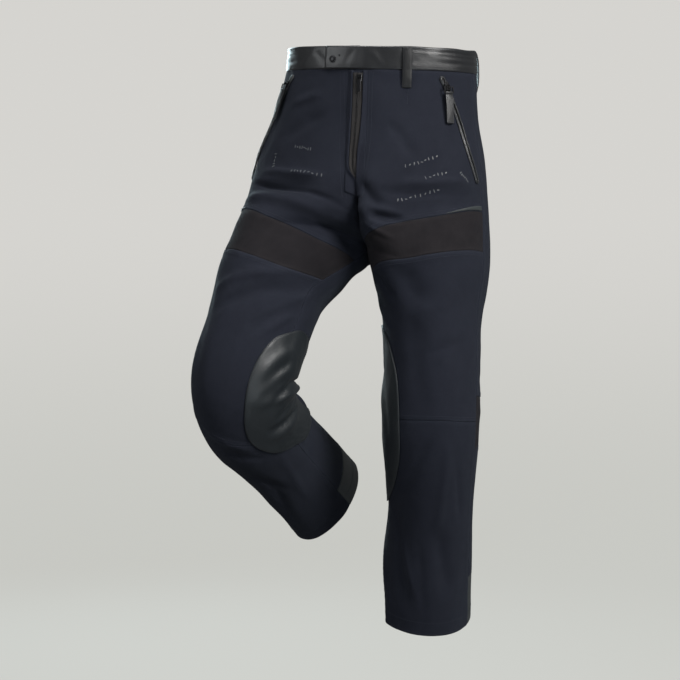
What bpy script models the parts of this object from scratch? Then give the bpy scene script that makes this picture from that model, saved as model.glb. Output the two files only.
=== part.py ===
# Motorcycle trousers, worn and hollow: the left leg nearly straight, the right knee raised and bent.
# The garment's front faces -Y and the wearer's left is +X. The origin is the middle of the waistband.
# All sizes are in metres.

import math
from functools import lru_cache

import bmesh
import bpy
import numpy as np
from mathutils import Matrix, Vector

LEFT = 1
RIGHT = -1
SIDE_NAMES = {LEFT: "left", RIGHT: "right"}

# Wall thicknesses and gaps
CLOTH = 0.0020
LEATHER = 0.0020
BAND = 0.0030
GAP = 0.0003

FACING = 0.0012
ZIP_TAPE = 0.0010
WELT = 0.0020
TRIM = 0.0012

# The waistband: its height, how far it stands proud and draws in, and how its plane leans on the raised hip
BAND_HEIGHT = 0.038
BAND_PROUD = 0.0012
BAND_TAPER = 0.35
BAND_ROWS = ((0.0003, 0.0004), (0.006, 0.0), (0.019, 0.0), (0.033, 0.0), (0.038, 0.0007))
HIP_SPAN = 0.296
WAIST_ROLL = math.radians(3.6)
WAIST_PITCH = math.radians(6.5)

# Where along the garment the rings lie: 0 waist seam, 1 crotch, 2 knee, 3 hem
CROTCH = 1.0

# Rings of the hips: along, height, half width, front depth, back depth
TORSO = {
    "along": (0.0, 0.25, 0.5, 0.75, 1.0),
    "height": (-0.021, -0.095, -0.175, -0.260, -0.365),
    "half_width_left": (0.166, 0.167, 0.179, 0.187, 0.190),
    "half_width_right": (0.166, 0.190, 0.223, 0.240, 0.210),
    "front": (0.128, 0.134, 0.138, 0.139, 0.135),
    "back": (0.116, 0.136, 0.150, 0.148, 0.130),
}

# The seat and fly seam, seen from the side: the front and back ends of each ring
RISE = {
    "along": (0.0, 0.25, 0.5, 0.75, 0.88, 1.0),
    "front_y": (-0.128, -0.134, -0.138, -0.132, -0.112, -0.070),
    "front_z": (-0.021, -0.095, -0.175, -0.252, -0.300, -0.323),
    "back_y": (0.116, 0.141, 0.147, 0.092, 0.016, -0.070),
    "back_z": (-0.021, -0.112, -0.215, -0.301, -0.321, -0.323),
}

# The line through the middle of each leg, and the length over which its knee turns
LEG_LINES = {
    LEFT: {"hip": (0.082, 0.005, -0.162), "knee": (0.103, -0.034, -0.631), "hem": (0.056, 0.085, -0.958)},
    RIGHT: {"hip": (-0.100, 0.000, -0.156), "knee": (-0.190, -0.193, -0.570), "hem": (-0.136, 0.106, -0.769)},
}
KNEE_TURN = 0.090

# Share of the thigh above each station, and of the shin below the knee
REACH = {"along": (0.0, 0.5, 1.0, 2.0, 3.0), "share": (-0.10, 0.10, 0.42, 1.0, 2.0)}

# Rings of the legs: distances from the leg's line to the cloth, how far the leg is turned outwards
# in degrees, and how far the inner front of a ring is drawn up the leg
LEG_RINGS = {
    LEFT: {
        "along": (0.5, 1.0, 1.3, 1.6, 2.0, 2.25, 2.5, 2.75, 3.0),
        "inner": (0.088, 0.087, 0.082, 0.079, 0.083, 0.076, 0.072, 0.081, 0.086),
        "outer": (0.096, 0.100, 0.086, 0.080, 0.077, 0.074, 0.073, 0.076, 0.080),
        "front": (0.125, 0.125, 0.112, 0.098, 0.084, 0.076, 0.075, 0.080, 0.085),
        "back": (0.130, 0.114, 0.100, 0.091, 0.088, 0.086, 0.084, 0.080, 0.075),
        "turn": (0, 2, 3, 4, 5, 5, 5, 5, 5),
        "slant": (0, 0, 0, 0, 0, 0, 0, 0.002, 0.006),
    },
    RIGHT: {
        "along": (0.5, 1.0, 1.3, 1.6, 2.0, 2.25, 2.5, 2.75, 3.0),
        "inner": (0.095, 0.082, 0.082, 0.083, 0.080, 0.070, 0.061, 0.057, 0.057),
        "outer": (0.100, 0.101, 0.098, 0.087, 0.084, 0.076, 0.064, 0.058, 0.055),
        "front": (0.120, 0.104, 0.104, 0.095, 0.097, 0.093, 0.084, 0.082, 0.086),
        "back": (0.140, 0.090, 0.086, 0.082, 0.079, 0.075, 0.077, 0.086, 0.091),
        "turn": (6, 18, 25, 25, 24, 24, 21, 18, 17),
        "slant": (0, 0, 0, 0, 0, 0, 0.005, 0.010, 0.010),
    },
}

# Seams that run across a leg: how far down they lie at each place around it
AROUND = (0.0, 0.10, 0.20, 0.30, 0.46, 0.75, 1.0)
SEAMS = {
    LEFT: {
        "waist": (0.0, 0.0, 0.0, 0.0, 0.0, 0.0, 0.0),
        "crotch": (1.0, 0.84, 0.76, 0.72, 0.68, 0.88, 1.0),
        "rib_top": (1.06, 0.90, 0.818, 0.785, 0.745, 0.96, 1.06),
        "rib_bottom": (1.20, 1.09, 1.015, 0.975, 0.94, 1.10, 1.20),
        "knee_back_top": (1.78, 1.75, 1.74, 1.76, 1.83, 1.83, 1.78),
        "knee": (1.94, 1.93, 1.93, 1.93, 1.95, 1.96, 1.94),
        "knee_back_bottom": (2.10, 2.10, 2.10, 2.10, 2.09, 2.09, 2.10),
        "heel_top": (2.84, 2.76, 2.74, 2.73, 2.75, 2.77, 2.84),
        "hem": (3.0, 3.0, 3.0, 3.0, 3.0, 3.0, 3.0),
    },
    RIGHT: {
        "waist": (0.0, 0.0, 0.0, 0.0, 0.0, 0.0, 0.0),
        "crotch": (1.0, 0.96, 0.90, 0.84, 0.78, 0.89, 1.0),
        "rib_top": (1.10, 1.07, 0.985, 0.91, 0.85, 0.97, 1.10),
        "rib_bottom": (1.235, 1.262, 1.24, 1.185, 1.10, 1.15, 1.235),
        "knee_back_top": (1.95, 1.95, 1.92, 1.89, 1.85, 1.83, 1.95),
        "knee": (2.21, 2.18, 2.13, 2.09, 2.03, 1.98, 2.21),
        "knee_back_bottom": (2.36, 2.33, 2.28, 2.24, 2.19, 2.14, 2.36),
        "heel_top": (2.85, 2.79, 2.76, 2.75, 2.75, 2.77, 2.85),
        "hem": (3.0, 3.0, 3.0, 3.0, 3.0, 3.0, 3.0),
    },
}
SEAM_ORDER = tuple(SEAMS[LEFT])
ROWS_AFTER = {
    "waist": 11,
    "crotch": 1,
    "rib_top": 3,
    "rib_bottom": 8,
    "knee_back_top": 2,
    "knee": 2,
    "knee_back_bottom": 6,
    "heel_top": 2,
}

# Columns around each half: the front ones end at the side seam
SIDE_SEAM = 0.46
FRONT_COLUMNS = 11
BACK_COLUMNS = 10

# Panels of each leg: first seam, last seam, front or back
PANELS = {
    "front": ("waist", "rib_top", "front"),
    "seat": ("waist", "knee_back_top", "back"),
    "thigh_rib": ("rib_top", "rib_bottom", "front"),
    "thigh_front": ("rib_bottom", "knee", "front"),
    "shin": ("knee", "hem", "front"),
    "knee_back_rib": ("knee_back_top", "knee_back_bottom", "back"),
    "calf": ("knee_back_bottom", "heel_top", "back"),
    "heel_guard": ("heel_top", "hem", "back"),
}


# Large folds: where each starts and ends on its half, half its width and its height in metres
FOLD_COLUMNS = ("along", "around", "along_end", "around_end", "half_width", "height")
FOLDS = {
    LEFT: (
        (0.66, 0.02, 0.78, 0.14, 0.012, -0.005),
        (0.76, 0.02, 0.86, 0.16, 0.010, 0.004),
        (1.04, 0.20, 1.30, 0.27, 0.022, -0.004),
        (1.75, 0.53, 1.80, 0.90, 0.012, -0.004),
        (1.92, 0.53, 1.94, 0.92, 0.012, 0.004),
        (2.14, 0.55, 2.10, 0.90, 0.013, -0.004),
        (0.88, 0.62, 0.98, 0.92, 0.020, -0.006),
        (2.35, 0.12, 2.85, 0.20, 0.012, -0.003),
        (2.45, 0.30, 2.80, 0.36, 0.014, -0.003),
    ),
    RIGHT: (
        (0.72, 0.34, 0.74, 0.12, 0.016, -0.006),
        (0.80, 0.36, 0.86, 0.10, 0.014, 0.005),
        (1.34, 0.04, 1.66, 0.27, 0.014, -0.004),
        (1.26, 0.06, 1.50, 0.30, 0.012, 0.003),
        (1.90, 0.68, 1.92, 0.98, 0.009, -0.004),
        (1.99, 0.62, 2.02, 0.95, 0.009, 0.005),
        (2.12, 0.66, 2.16, 0.98, 0.009, -0.004),
        (2.26, 0.62, 2.40, 0.92, 0.011, 0.004),
        (1.02, 0.62, 1.12, 0.94, 0.018, -0.005),
        (2.45, 0.16, 2.82, 0.22, 0.013, -0.003),
    ),
}
# Metres of cloth to one step along and one turn around, to measure the folds by
ALONG_SPAN, AROUND_SPAN = 0.35, 0.50

# The waistband's tab over the right side and its press stud
TAB_END = 0.119
TAB_LIFT = BAND + GAP
STUD = {"around": 0.088, "drop": 0.0225, "radius": 0.0062, "height": 0.0022}
RIVET = {"around": 0.065, "drop": 0.0165, "radius": 0.0019, "height": 0.0010}

# Belt loops, and their rows: height above the waist seam, and how far the inside stands off the cloth or band
LOOP = {"width": 0.015, "thick": 0.0022}
LOOP_ROWS = (
    (0.0365, 0.0017),
    (0.0330, 0.0022),
    (0.0260, 0.0036),
    (0.0150, 0.0044),
    (0.0030, 0.0044),
    (-0.0080, 0.0040),
    (-0.0180, 0.0030),
    (-0.0250, 0.0014),
    (-0.0300, 0.0006),
)
LOOP_PLACES = {
    "belt_loop_front_left": (LEFT, 0.155),
    "belt_loop_back_left": (LEFT, 0.61),
    "belt_loop_back_right": (RIGHT, 0.61),
    "belt_loop_back_centre": (LEFT, 1.0),
}

# The fly: a facing down the front seam and the zip that lies on it
FLY = {
    "facing_from": 0.010,
    "facing_to": 0.735,
    "facing_half": 0.0140,
    "zip_to": 0.60,
    "zip_half": 0.0080,
    "zip_aside": -0.0010,
}
FLY_SLIDER = {"along": 0.055, "around": 0.005}
FLY_ROWS = 11
FLY_COLUMNS = 3

# Hip pockets: the line of each opening, the same on both sides
POCKET_LINE = {
    "along": (0.045, 0.12, 0.20, 0.28, 0.365, 0.447, 0.52, 0.595),
    "around": (0.283, 0.313, 0.335, 0.354, 0.369, 0.386, 0.408, 0.430),
}
POCKET = {"half": 0.0052, "slot_half": 0.0019, "zip_half": 0.0015, "end": 0.006}
POCKET_SLIDER_AT = 0.085
POCKET_ROWS = slice(0, 11)
POCKET_COLUMNS = slice(4, FRONT_COLUMNS + 3)
STRIP_REACH = 0.215
STRIP_DRIFT = {LEFT: 0.008, RIGHT: 0.020}
STRIP_STAND = 0.0050

# Leather on the inside of each knee: how far round it reaches each way, down its length
KNEE_PATCH = {
    LEFT: {
        "along": (1.36, 1.42, 1.56, 1.74, 1.92, 2.10, 2.26, 2.36, 2.42),
        "front": (0.010, 0.078, 0.130, 0.156, 0.163, 0.160, 0.125, 0.080, 0.010),
        "back": (-0.010, -0.070, -0.115, -0.135, -0.140, -0.138, -0.110, -0.070, -0.010),
    },
    RIGHT: {
        "along": (1.58, 1.64, 1.74, 1.86, 2.00, 2.14, 2.26, 2.36, 2.41),
        "front": (-0.045, 0.012, 0.058, 0.092, 0.117, 0.122, 0.078, 0.008, -0.050),
        "back": (-0.075, -0.120, -0.138, -0.146, -0.150, -0.152, -0.156, -0.146, -0.110),
    },
}

# Leather slivers at the outer ends of the thigh ribs, above the seam
SIDE_TRIM = {"from": 0.325, "to": 0.452, "height": 0.0080, "above": 0.0015}

# Zip sliders and the hinged pulls that hang from them
SLIDER = {"width": 0.0085, "length": 0.0125, "thick": 0.0024}
PIN = {"radius": 0.0006, "rise": 0.0027, "lug": 0.0010}
EYE = {"inner": 0.00105, "outer": 0.0021, "width": 0.0018}
FLY_TAG = {"width": 0.0065, "length": 0.021, "thick": 0.0014}
RING = {"half_width": 0.0082, "length": 0.0090, "wire": 0.0008}
STRIP = {"width": 0.0135, "length": 0.050, "thick": 0.0018, "hole": 0.0012}


def spline(xs, ys, at):
    """A smooth curve through the points of two table columns, read at each value of at."""
    xs = np.asarray(xs, float)
    ys = np.asarray(ys, float)
    at = np.clip(at, xs[0], xs[-1])
    slope = np.gradient(ys, xs)
    k = np.clip(np.searchsorted(xs, at, side="right") - 1, 0, len(xs) - 2)
    width = xs[k + 1] - xs[k]
    u = (at - xs[k]) / width
    rise = 3 * u**2 - 2 * u**3
    lead = (u**3 - 2 * u**2 + u) * width
    trail = (u**3 - u**2) * width
    return ys[k] * (1 - rise) + ys[k + 1] * rise + slope[k] * lead + slope[k + 1] * trail


def column(table, name, at):
    return spline(table["along"], table[name], at)


def ease(low, high, at):
    u = np.clip((at - low) / (high - low), 0.0, 1.0)
    return u * u * (3 - 2 * u)


def unit(v):
    return v / np.linalg.norm(v, axis=-1, keepdims=True)


def leg_line(side, along):
    """Centre and direction of a leg's line, with the knee rounded."""
    line = {k: np.array(v) for k, v in LEG_LINES[side].items()}
    thigh = line["knee"] - line["hip"]
    shin = line["hem"] - line["knee"]
    thigh_length = np.linalg.norm(thigh)
    shin_length = np.linalg.norm(shin)
    thigh, shin = thigh / thigh_length, shin / shin_length
    share = column(REACH, "share", along)
    d = np.where(share < 1, (share - 1) * thigh_length, (share - 1) * shin_length)
    u = np.clip((d + KNEE_TURN) / (2 * KNEE_TURN), 0, 1)[..., None]
    start = line["knee"] - thigh * KNEE_TURN
    end = line["knee"] + shin * KNEE_TURN
    centre = start * (1 - u) ** 2 + line["knee"] * 2 * u * (1 - u) + end * u**2
    before = np.minimum(d + KNEE_TURN, 0)[..., None]
    after = np.maximum(d - KNEE_TURN, 0)[..., None]
    centre = centre + thigh * before + shin * after
    direction = unit(thigh * (1 - u) + shin * u)
    return centre, direction


def leg_ring(side, along, around):
    """A point on a leg: around is 0 at the inseam, 0.25 in front, 0.5 outside and 0.75 behind."""
    centre, direction = leg_line(side, along)
    inward = np.array((-side, 0.0, 0.0))
    inward = unit(inward - direction * (direction @ inward)[..., None])
    forward = np.cross(inward, direction) * side
    turn = np.radians(column(LEG_RINGS[side], "turn", along))[..., None]
    inward, forward = (
        inward * np.cos(turn) + forward * np.sin(turn),
        forward * np.cos(turn) - inward * np.sin(turn),
    )
    across = np.cos(2 * np.pi * around)
    deep = np.sin(2 * np.pi * around)
    rings = LEG_RINGS[side]
    reach_across = np.where(across > 0, column(rings, "inner", along), column(rings, "outer", along))
    reach_deep = np.where(deep > 0, column(rings, "front", along), column(rings, "back", along))
    point = centre + inward * (across * reach_across)[..., None] + forward * (deep * reach_deep)[..., None]
    slant = column(rings, "slant", along) * (across + deep) / 2
    return point - direction * slant[..., None]


def torso_ring(side, along, around):
    x = side * column(TORSO, "half_width_" + SIDE_NAMES[side], along) * np.sin(np.pi * around)
    deep = -np.cos(np.pi * around)
    y = deep * np.where(deep < 0, column(TORSO, "front", along), column(TORSO, "back", along))
    return np.stack([x, y, column(TORSO, "height", along)], axis=-1)


def lean(point, along):
    """Tilts the waist with the raised hip."""
    fade = 1 - ease(0.1, 0.75, along)
    rise = np.tan(WAIST_PITCH) * point[..., 1] - np.tan(WAIST_ROLL) * point[..., 0]
    return np.stack([point[..., 0], point[..., 1], point[..., 2] + rise * fade], axis=-1)


def plain_surface(side, along, around):
    """The outside of the cloth before its folds, at stations along and around one half."""
    along, around = np.broadcast_arrays(np.asarray(along, float), np.asarray(around, float))
    share = ease(0.30, CROTCH, along)[..., None]
    point = torso_ring(side, along, around) * (1 - share) + leg_ring(side, along, around) * share
    front_end = np.stack([0 * along, column(RISE, "front_y", along), column(RISE, "front_z", along)], -1)
    back_end = np.stack([0 * along, column(RISE, "back_y", along), column(RISE, "back_z", along)], -1)
    at_front, at_back = np.zeros_like(around), np.ones_like(around)
    above = np.minimum(along, CROTCH)
    share = ease(0.30, CROTCH, above)[..., None]
    own_front = torso_ring(side, above, at_front) * (1 - share) + leg_ring(side, above, at_front) * share
    own_back = torso_ring(side, above, at_back) * (1 - share) + leg_ring(side, above, at_back) * share
    fade = 1 - ease(CROTCH, 1.35, along)
    near_front = (fade * (1 - ease(0.0, 0.26, around)))[..., None]
    near_back = (fade * ease(0.68, 1.0, around))[..., None]
    point = point + (front_end - own_front) * near_front + (back_end - own_back) * near_back
    point = lean(point, along)
    clear = 0.002 * ease(CROTCH, 1.1, along)
    point[..., 0] = side * np.maximum(side * point[..., 0], clear)
    return point


def fold_height(side, along, around):
    """How far the folds raise or sink the cloth."""
    total = np.zeros(np.broadcast(along, around).shape)
    turns = np.where(along > CROTCH, 1.0, 0.0)
    for row in FOLDS[side]:
        fold = dict(zip(FOLD_COLUMNS, row))
        start = np.array((fold["along"] * ALONG_SPAN, fold["around"] * AROUND_SPAN))
        end = np.array((fold["along_end"] * ALONG_SPAN, fold["around_end"] * AROUND_SPAN))
        length = np.linalg.norm(end - start)
        line = (end - start) / length
        for turn in (-1, 0, 1):
            x = along * ALONG_SPAN - start[0]
            y = (around + turn) * AROUND_SPAN - start[1]
            ahead = (x * line[0] + y * line[1]) / length
            aside = (y * line[0] - x * line[1]) / fold["half_width"]
            taper = ease(-0.12, 0.3, ahead) * (1 - ease(0.7, 1.12, ahead))
            weight = turns if turn else 1.0
            total = total + weight * fold["height"] * taper * np.exp(-aside * aside)
    return total


def surface(side, along, around):
    """The outside of the cloth with its folds."""
    along, around = np.broadcast_arrays(np.asarray(along, float), np.asarray(around, float))
    step = 0.004
    point = plain_surface(side, along, around)
    down = plain_surface(side, along + step, around) - plain_surface(side, along - step, around)
    across = plain_surface(side, along, around + step) - plain_surface(side, along, around - step)
    out = np.cross(down, across) * side
    out = out / np.maximum(np.linalg.norm(out, axis=-1, keepdims=True), 1e-9)
    calm = np.where(along < 1.06, ease(0.0, 0.05, around) * (1 - ease(0.95, 1.0, around)), 1.0)
    point = point + out * (fold_height(side, along, around) * calm)[..., None]
    clear = 0.002 * ease(CROTCH, 1.1, along)
    point[..., 0] = side * np.maximum(side * point[..., 0], clear)
    return point


def row_starts():
    """The lattice row on which each seam lies."""
    starts, row = {}, 0
    for name in SEAM_ORDER:
        starts[name] = row
        row += ROWS_AFTER.get(name, 0)
    return starts


def columns():
    front = np.linspace(0.0, SIDE_SEAM, FRONT_COLUMNS + 1)
    back = np.linspace(SIDE_SEAM, 1.0, BACK_COLUMNS + 1)
    return np.concatenate([front, back[1:]])


def row_lines(side):
    """How far down each lattice row lies, at each column."""
    around = columns()
    lines = []
    for upper, lower in zip(SEAM_ORDER, SEAM_ORDER[1:]):
        first = spline(AROUND, SEAMS[side][upper], around)
        last = spline(AROUND, SEAMS[side][lower], around)
        for k in range(ROWS_AFTER[upper]):
            lines.append(first + (last - first) * k / ROWS_AFTER[upper])
    lines.append(last)
    return np.array(lines)


def lattice(side):
    """Outer points of one half of the trousers and the outward direction at each."""
    along = row_lines(side)
    around = np.broadcast_to(columns(), along.shape)
    points = surface(side, along, around)
    crotch = row_starts()["crotch"]
    down = np.gradient(points, axis=0)
    wrapped = np.concatenate([points[:, -2:-1], points, points[:, 1:2]], axis=1)
    across = (wrapped[:, 2:] - wrapped[:, :-2]) / 2
    across[:crotch, 0] = points[:crotch, 1] - points[:crotch, 0]
    across[:crotch, -1] = points[:crotch, -1] - points[:crotch, -2]
    normals = unit(np.cross(down, across)) * side
    middle = normals[: crotch + 1, [0, -1]].copy()
    middle[..., 0] = 0.0
    normals[: crotch + 1, [0, -1]] = unit(middle)
    underneath = unit(normals[crotch, 0] + normals[crotch, -1])
    normals[crotch, 0] = normals[crotch, -1] = underneath
    return points, normals


def inset(points, reach):
    """Draws the edges of a patch of lattice points inwards."""
    moved = points.copy()
    moved[0] += unit(points[1] - points[0]) * reach
    moved[-1] += unit(points[-2] - points[-1]) * reach
    moved[:, 0] += unit(points[:, 1] - points[:, 0]) * reach
    moved[:, -1] += unit(points[:, -2] - points[:, -1]) * reach
    return moved


def shell_mesh(outer, inner, mirrored=0):
    """Vertices and faces of a closed wall between two patches; the first columns may be mirrored."""
    rows, cols = outer.shape[:2]
    count = rows * cols
    verts = [tuple(p) for p in outer.reshape(-1, 3)] + [tuple(p) for p in inner.reshape(-1, 3)]
    faces = []
    for r in range(rows - 1):
        for c in range(cols - 1):
            a, b = r * cols + c, r * cols + c + 1
            d, e = a + cols, b + cols
            for tri in ((a, b, d), (b, e, d)) if c < mirrored else ((a, b, e), (a, e, d)):
                faces.append(tri)
                faces.append(tuple(count + k for k in reversed(tri)))
    top = list(range(cols))
    right = [r * cols + cols - 1 for r in range(1, rows)]
    bottom = [(rows - 1) * cols + c for c in range(cols - 2, -1, -1)]
    left = [r * cols for r in range(rows - 2, 0, -1)]
    rim = top + right + bottom + left
    for a, b in zip(rim, rim[1:] + rim[:1]):
        faces.append((b, a, count + a, count + b))
    return verts, faces


def add_object(name, verts, faces, material):
    mesh = bpy.data.meshes.new(name)
    mesh.from_pydata([tuple(map(float, v)) for v in verts], [], faces)
    tidy = bmesh.new()
    tidy.from_mesh(mesh)
    bmesh.ops.recalc_face_normals(tidy, faces=tidy.faces)
    tidy.to_mesh(mesh)
    tidy.free()
    piece = bpy.data.objects.new(name, mesh)
    bpy.context.scene.collection.objects.link(piece)
    mesh.materials.append(material)
    return piece


def panel_range(side, panel):
    """Rows and columns of the lattice that a panel covers."""
    upper, lower, place = PANELS[panel]
    starts = row_starts()
    rows = slice(starts[upper], starts[lower] + 1)
    if place == "front":
        return rows, slice(0, FRONT_COLUMNS + 1)
    return rows, slice(FRONT_COLUMNS, FRONT_COLUMNS + BACK_COLUMNS + 1)


def add_panel(side, panel, material):
    points, normals = LATTICES[side]
    rows, cols = panel_range(side, panel)
    outer = inset(points[rows, cols], GAP * 0.55)
    inner = outer - normals[rows, cols] * CLOTH
    verts, faces = shell_mesh(outer, inner)
    return add_object(f"{panel}_{SIDE_NAMES[side]}", verts, faces, material)


def side_patch(side, rows, first, last):
    """Lattice points and normals over a run of columns that may pass the inseam."""
    points, normals = LATTICES[side]
    count = points.shape[1] - 1
    picks = [c % count for c in range(first, last + 1)]
    return points[rows][:, picks], normals[rows][:, picks]


def front_patch(rows, reach):
    """Lattice points and normals across the front seam, from the right side to the left."""
    right_points, right_normals = LATTICES[RIGHT]
    left_points, left_normals = LATTICES[LEFT]
    points = np.concatenate([right_points[rows, reach:0:-1], left_points[rows, : reach + 1]], axis=1)
    normals = np.concatenate([right_normals[rows, reach:0:-1], left_normals[rows, : reach + 1]], axis=1)
    return points, normals


def lifted(name, patch, lift, thick, material, mirrored=0):
    """A wall lying over a patch of lattice points."""
    points, normals = patch
    verts, faces = shell_mesh(points + normals * (lift + thick), points + normals * lift, mirrored)
    return add_object(name, verts, faces, material)


def prism(name, outline, direction, depth):
    """A cutter with the given outline, standing along a direction."""
    outline = np.asarray(outline)
    direction = np.asarray(direction) / np.linalg.norm(direction)
    middle = outline.mean(axis=0)
    flat = outline - ((outline - middle) @ direction)[:, None] * direction
    count = len(outline)
    verts = [tuple(p) for p in flat - direction * depth] + [tuple(p) for p in flat + direction * depth]
    faces = [tuple(range(count)), tuple(range(2 * count - 1, count - 1, -1))]
    faces += [(k, (k + 1) % count, count + (k + 1) % count, count + k) for k in range(count)]
    cutter = add_object(name, verts, faces, MATERIALS["metal"])
    cutter.hide_render = True
    cutter.display_type = "WIRE"
    return cutter


def combine(piece, cutter, operation):
    """Applies an exact Boolean and removes the cutter."""
    step = piece.modifiers.new("cut", "BOOLEAN")
    step.operation = operation
    step.solver = "EXACT"
    step.object = cutter
    depsgraph = bpy.context.evaluated_depsgraph_get()
    result = bpy.data.meshes.new_from_object(piece.evaluated_get(depsgraph))
    piece.modifiers.clear()
    old = piece.data
    piece.data = result
    bpy.data.meshes.remove(old)
    bpy.data.objects.remove(cutter, do_unlink=True)
    return piece


def strip_outline(centres, normal, half, end):
    """A closed outline of even width along a line of points, a little longer than the line."""
    centres = np.asarray(centres)
    lines = np.gradient(centres, axis=0)
    lines[0] = centres[1] - centres[0]
    lines[-1] = centres[-1] - centres[-2]
    lines = unit(lines)
    across = unit(np.cross(normal, lines))
    spine = centres.copy()
    spine[0] -= lines[0] * end
    spine[-1] += lines[-1] * end
    return np.concatenate([spine + across * half, (spine - across * half)[::-1]])


def middle_normal(side, along, around):
    """The outward direction of the cloth at one place."""
    step = 0.02
    down = surface(side, along + step, around) - surface(side, along - step, around)
    across = surface(side, along, around + step) - surface(side, along, around - step)
    return unit(np.cross(down, across) * side)


# The waistband

@lru_cache(maxsize=None)
def cloth_point(side, along, around):
    return surface(side, along, around)


def hip_point(side, around, height):
    """A point on the waistband above the waist seam, or on the cloth below it."""
    if around < 0:
        return hip_point(-side, -around, height)
    if around > 1:
        return hip_point(-side, 2 - around, height)
    base = cloth_point(side, max(-height, 0) / HIP_SPAN, around)
    up = unit(np.array((math.tan(WAIST_ROLL), -math.tan(WAIST_PITCH), 1.0)))
    drawn_in = np.array((base[0], base[1], 0.0)) * BAND_TAPER
    return base + (up - drawn_in) * max(height, 0)


def hip_frame(side, around, height):
    """Point, outward, downward and sideways directions on the hips; sideways is towards the back."""
    step = 0.012
    point = hip_point(side, around, height)
    across = hip_point(side, around + step, height) - hip_point(side, around - step, height)
    down = hip_point(side, around, height - step) - hip_point(side, around, height + step)
    out = unit(np.cross(unit(down), unit(across)) * side)
    down = unit(down)
    return point, out, down, np.cross(out, down)


def band_wall(places):
    """Outer and inner points of the waistband at a list of side, around and lift."""
    outer, inner = [], []
    for height, rounding in BAND_ROWS:
        outer_row, inner_row = [], []
        for side, around, lift in places:
            point, out = hip_frame(side, around, height)[:2]
            out = unit(out * (1.0, 1.0, 0.0))
            outer_row.append(point + out * (BAND_PROUD + lift - rounding))
            inner_row.append(point + out * (BAND_PROUD + lift - BAND))
        outer.append(outer_row)
        inner.append(inner_row)
    outer, inner = np.array(outer)[::-1], np.array(inner)[::-1]
    trimmed = inset(outer, GAP * 0.55)
    return trimmed, inner + (trimmed - outer)


def add_waistband(material):
    around = np.linspace(0.0, 1.0, 25)
    right = [(RIGHT, a, 0.0) for a in around]
    tab = [(RIGHT, a, TAB_LIFT) for a in np.linspace(TAB_END, 0.02, 5)]
    left = [(LEFT, a, TAB_LIFT * (1 - float(ease(0.01, 0.075, a)))) for a in around]
    add_object("waistband_right", *shell_mesh(*band_wall(right)), material)
    add_object("waistband_left", *shell_mesh(*band_wall(tab + left)), material)


def add_belt_loop(name, side, around, material):
    span = np.linalg.norm(hip_point(side, around + 0.01, 0) - hip_point(side, around - 0.01, 0)) / 0.02
    outer, inner = [], []
    for height, stand in LOOP_ROWS:
        outer_row, inner_row = [], []
        for share in (-0.5, -0.17, 0.17, 0.5):
            place = around + share * LOOP["width"] / span
            point, out = hip_frame(side, place, height)[:2]
            inner_row.append(point + out * stand)
            outer_row.append(point + out * (stand + LOOP["thick"]))
        outer.append(outer_row)
        inner.append(inner_row)
    add_object(name, *shell_mesh(np.array(outer), np.array(inner)), material)


# Small hard pieces, each built about a point with its own outward and downward directions

def place_box(name, frame, centre, size, material, bevel=0.0):
    """A block: centre and size are given sideways, downwards and outwards."""
    point, out, down, across = frame
    axes = (across, down, out)
    middle = point + sum(axis * c for axis, c in zip(axes, centre))
    corners = []
    for k in range(8):
        signs = ((k & 1) * 2 - 1, (k >> 1 & 1) * 2 - 1, (k >> 2 & 1) * 2 - 1)
        corners.append(middle + sum(axis * s * w / 2 for axis, s, w in zip(axes, signs, size)))
    faces = [(0, 1, 3, 2), (4, 6, 7, 5), (0, 4, 5, 1), (2, 3, 7, 6), (0, 2, 6, 4), (1, 5, 7, 3)]
    piece = add_object(name, corners, faces, material)
    if bevel:
        rounded = bmesh.new()
        rounded.from_mesh(piece.data)
        bmesh.ops.bevel(rounded, geom=rounded.edges[:], offset=bevel, segments=1, affect="EDGES")
        rounded.to_mesh(piece.data)
        rounded.free()
    return piece


def place_rod(name, start, end, radius, material, sides=12):
    """A round rod between two points."""
    start, end = np.asarray(start), np.asarray(end)
    line = unit(end - start)
    aside = unit(np.cross(line, (0.3, 0.5, 0.81)))
    other = np.cross(line, aside)
    ring = []
    for k in range(sides):
        turn = 2 * math.pi * k / sides
        ring.append(aside * math.cos(turn) * radius + other * math.sin(turn) * radius)
    verts = [start + r for r in ring] + [end + r for r in ring]
    faces = [tuple(range(sides)), tuple(range(2 * sides - 1, sides - 1, -1))]
    faces += [(k, (k + 1) % sides, sides + (k + 1) % sides, sides + k) for k in range(sides)]
    return add_object(name, verts, faces, material)


def pin_centre(frame):
    point, out = frame[:2]
    return point + out * (SLIDER["thick"] + PIN["rise"])


def add_slider(name, frame, lugs):
    """A zip slider; its two lugs and the pin for its pull may be turned to face another way."""
    metal = MATERIALS["metal"]
    across = lugs[3]
    half = SLIDER["thick"] / 2
    body = place_box(name, frame, (0, 0, half), (SLIDER["width"], SLIDER["length"], SLIDER["thick"]), metal, 0.0006)
    reach = EYE["width"] / 2 + 0.0004
    for way in (-1, 1):
        lug_middle = (way * (reach + PIN["lug"] / 2), 0, SLIDER["thick"] + PIN["rise"] / 2 - 0.0001)
        lug = place_box("lug", lugs, lug_middle, (PIN["lug"], 0.0022, PIN["rise"] + 0.0016), metal)
        combine(body, lug, "UNION")
    pin = pin_centre(lugs)
    over = across * (reach + PIN["lug"] / 2)
    combine(body, place_rod("pin", pin - over, pin + over, PIN["radius"], metal), "UNION")
    return body


def hanging_frame(frame, target):
    """The frame of a pull: its downward direction runs from the pin towards a point."""
    across = frame[3]
    pin = pin_centre(frame)
    down = target - pin
    down = unit(down - across * (down @ across))
    return pin, unit(np.cross(down, across)), down, across


def set_origin(piece, point):
    """Moves a piece's origin to a point without moving the piece."""
    piece.data.transform(Matrix.Translation(-Vector(point)))
    piece.location = point


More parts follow.
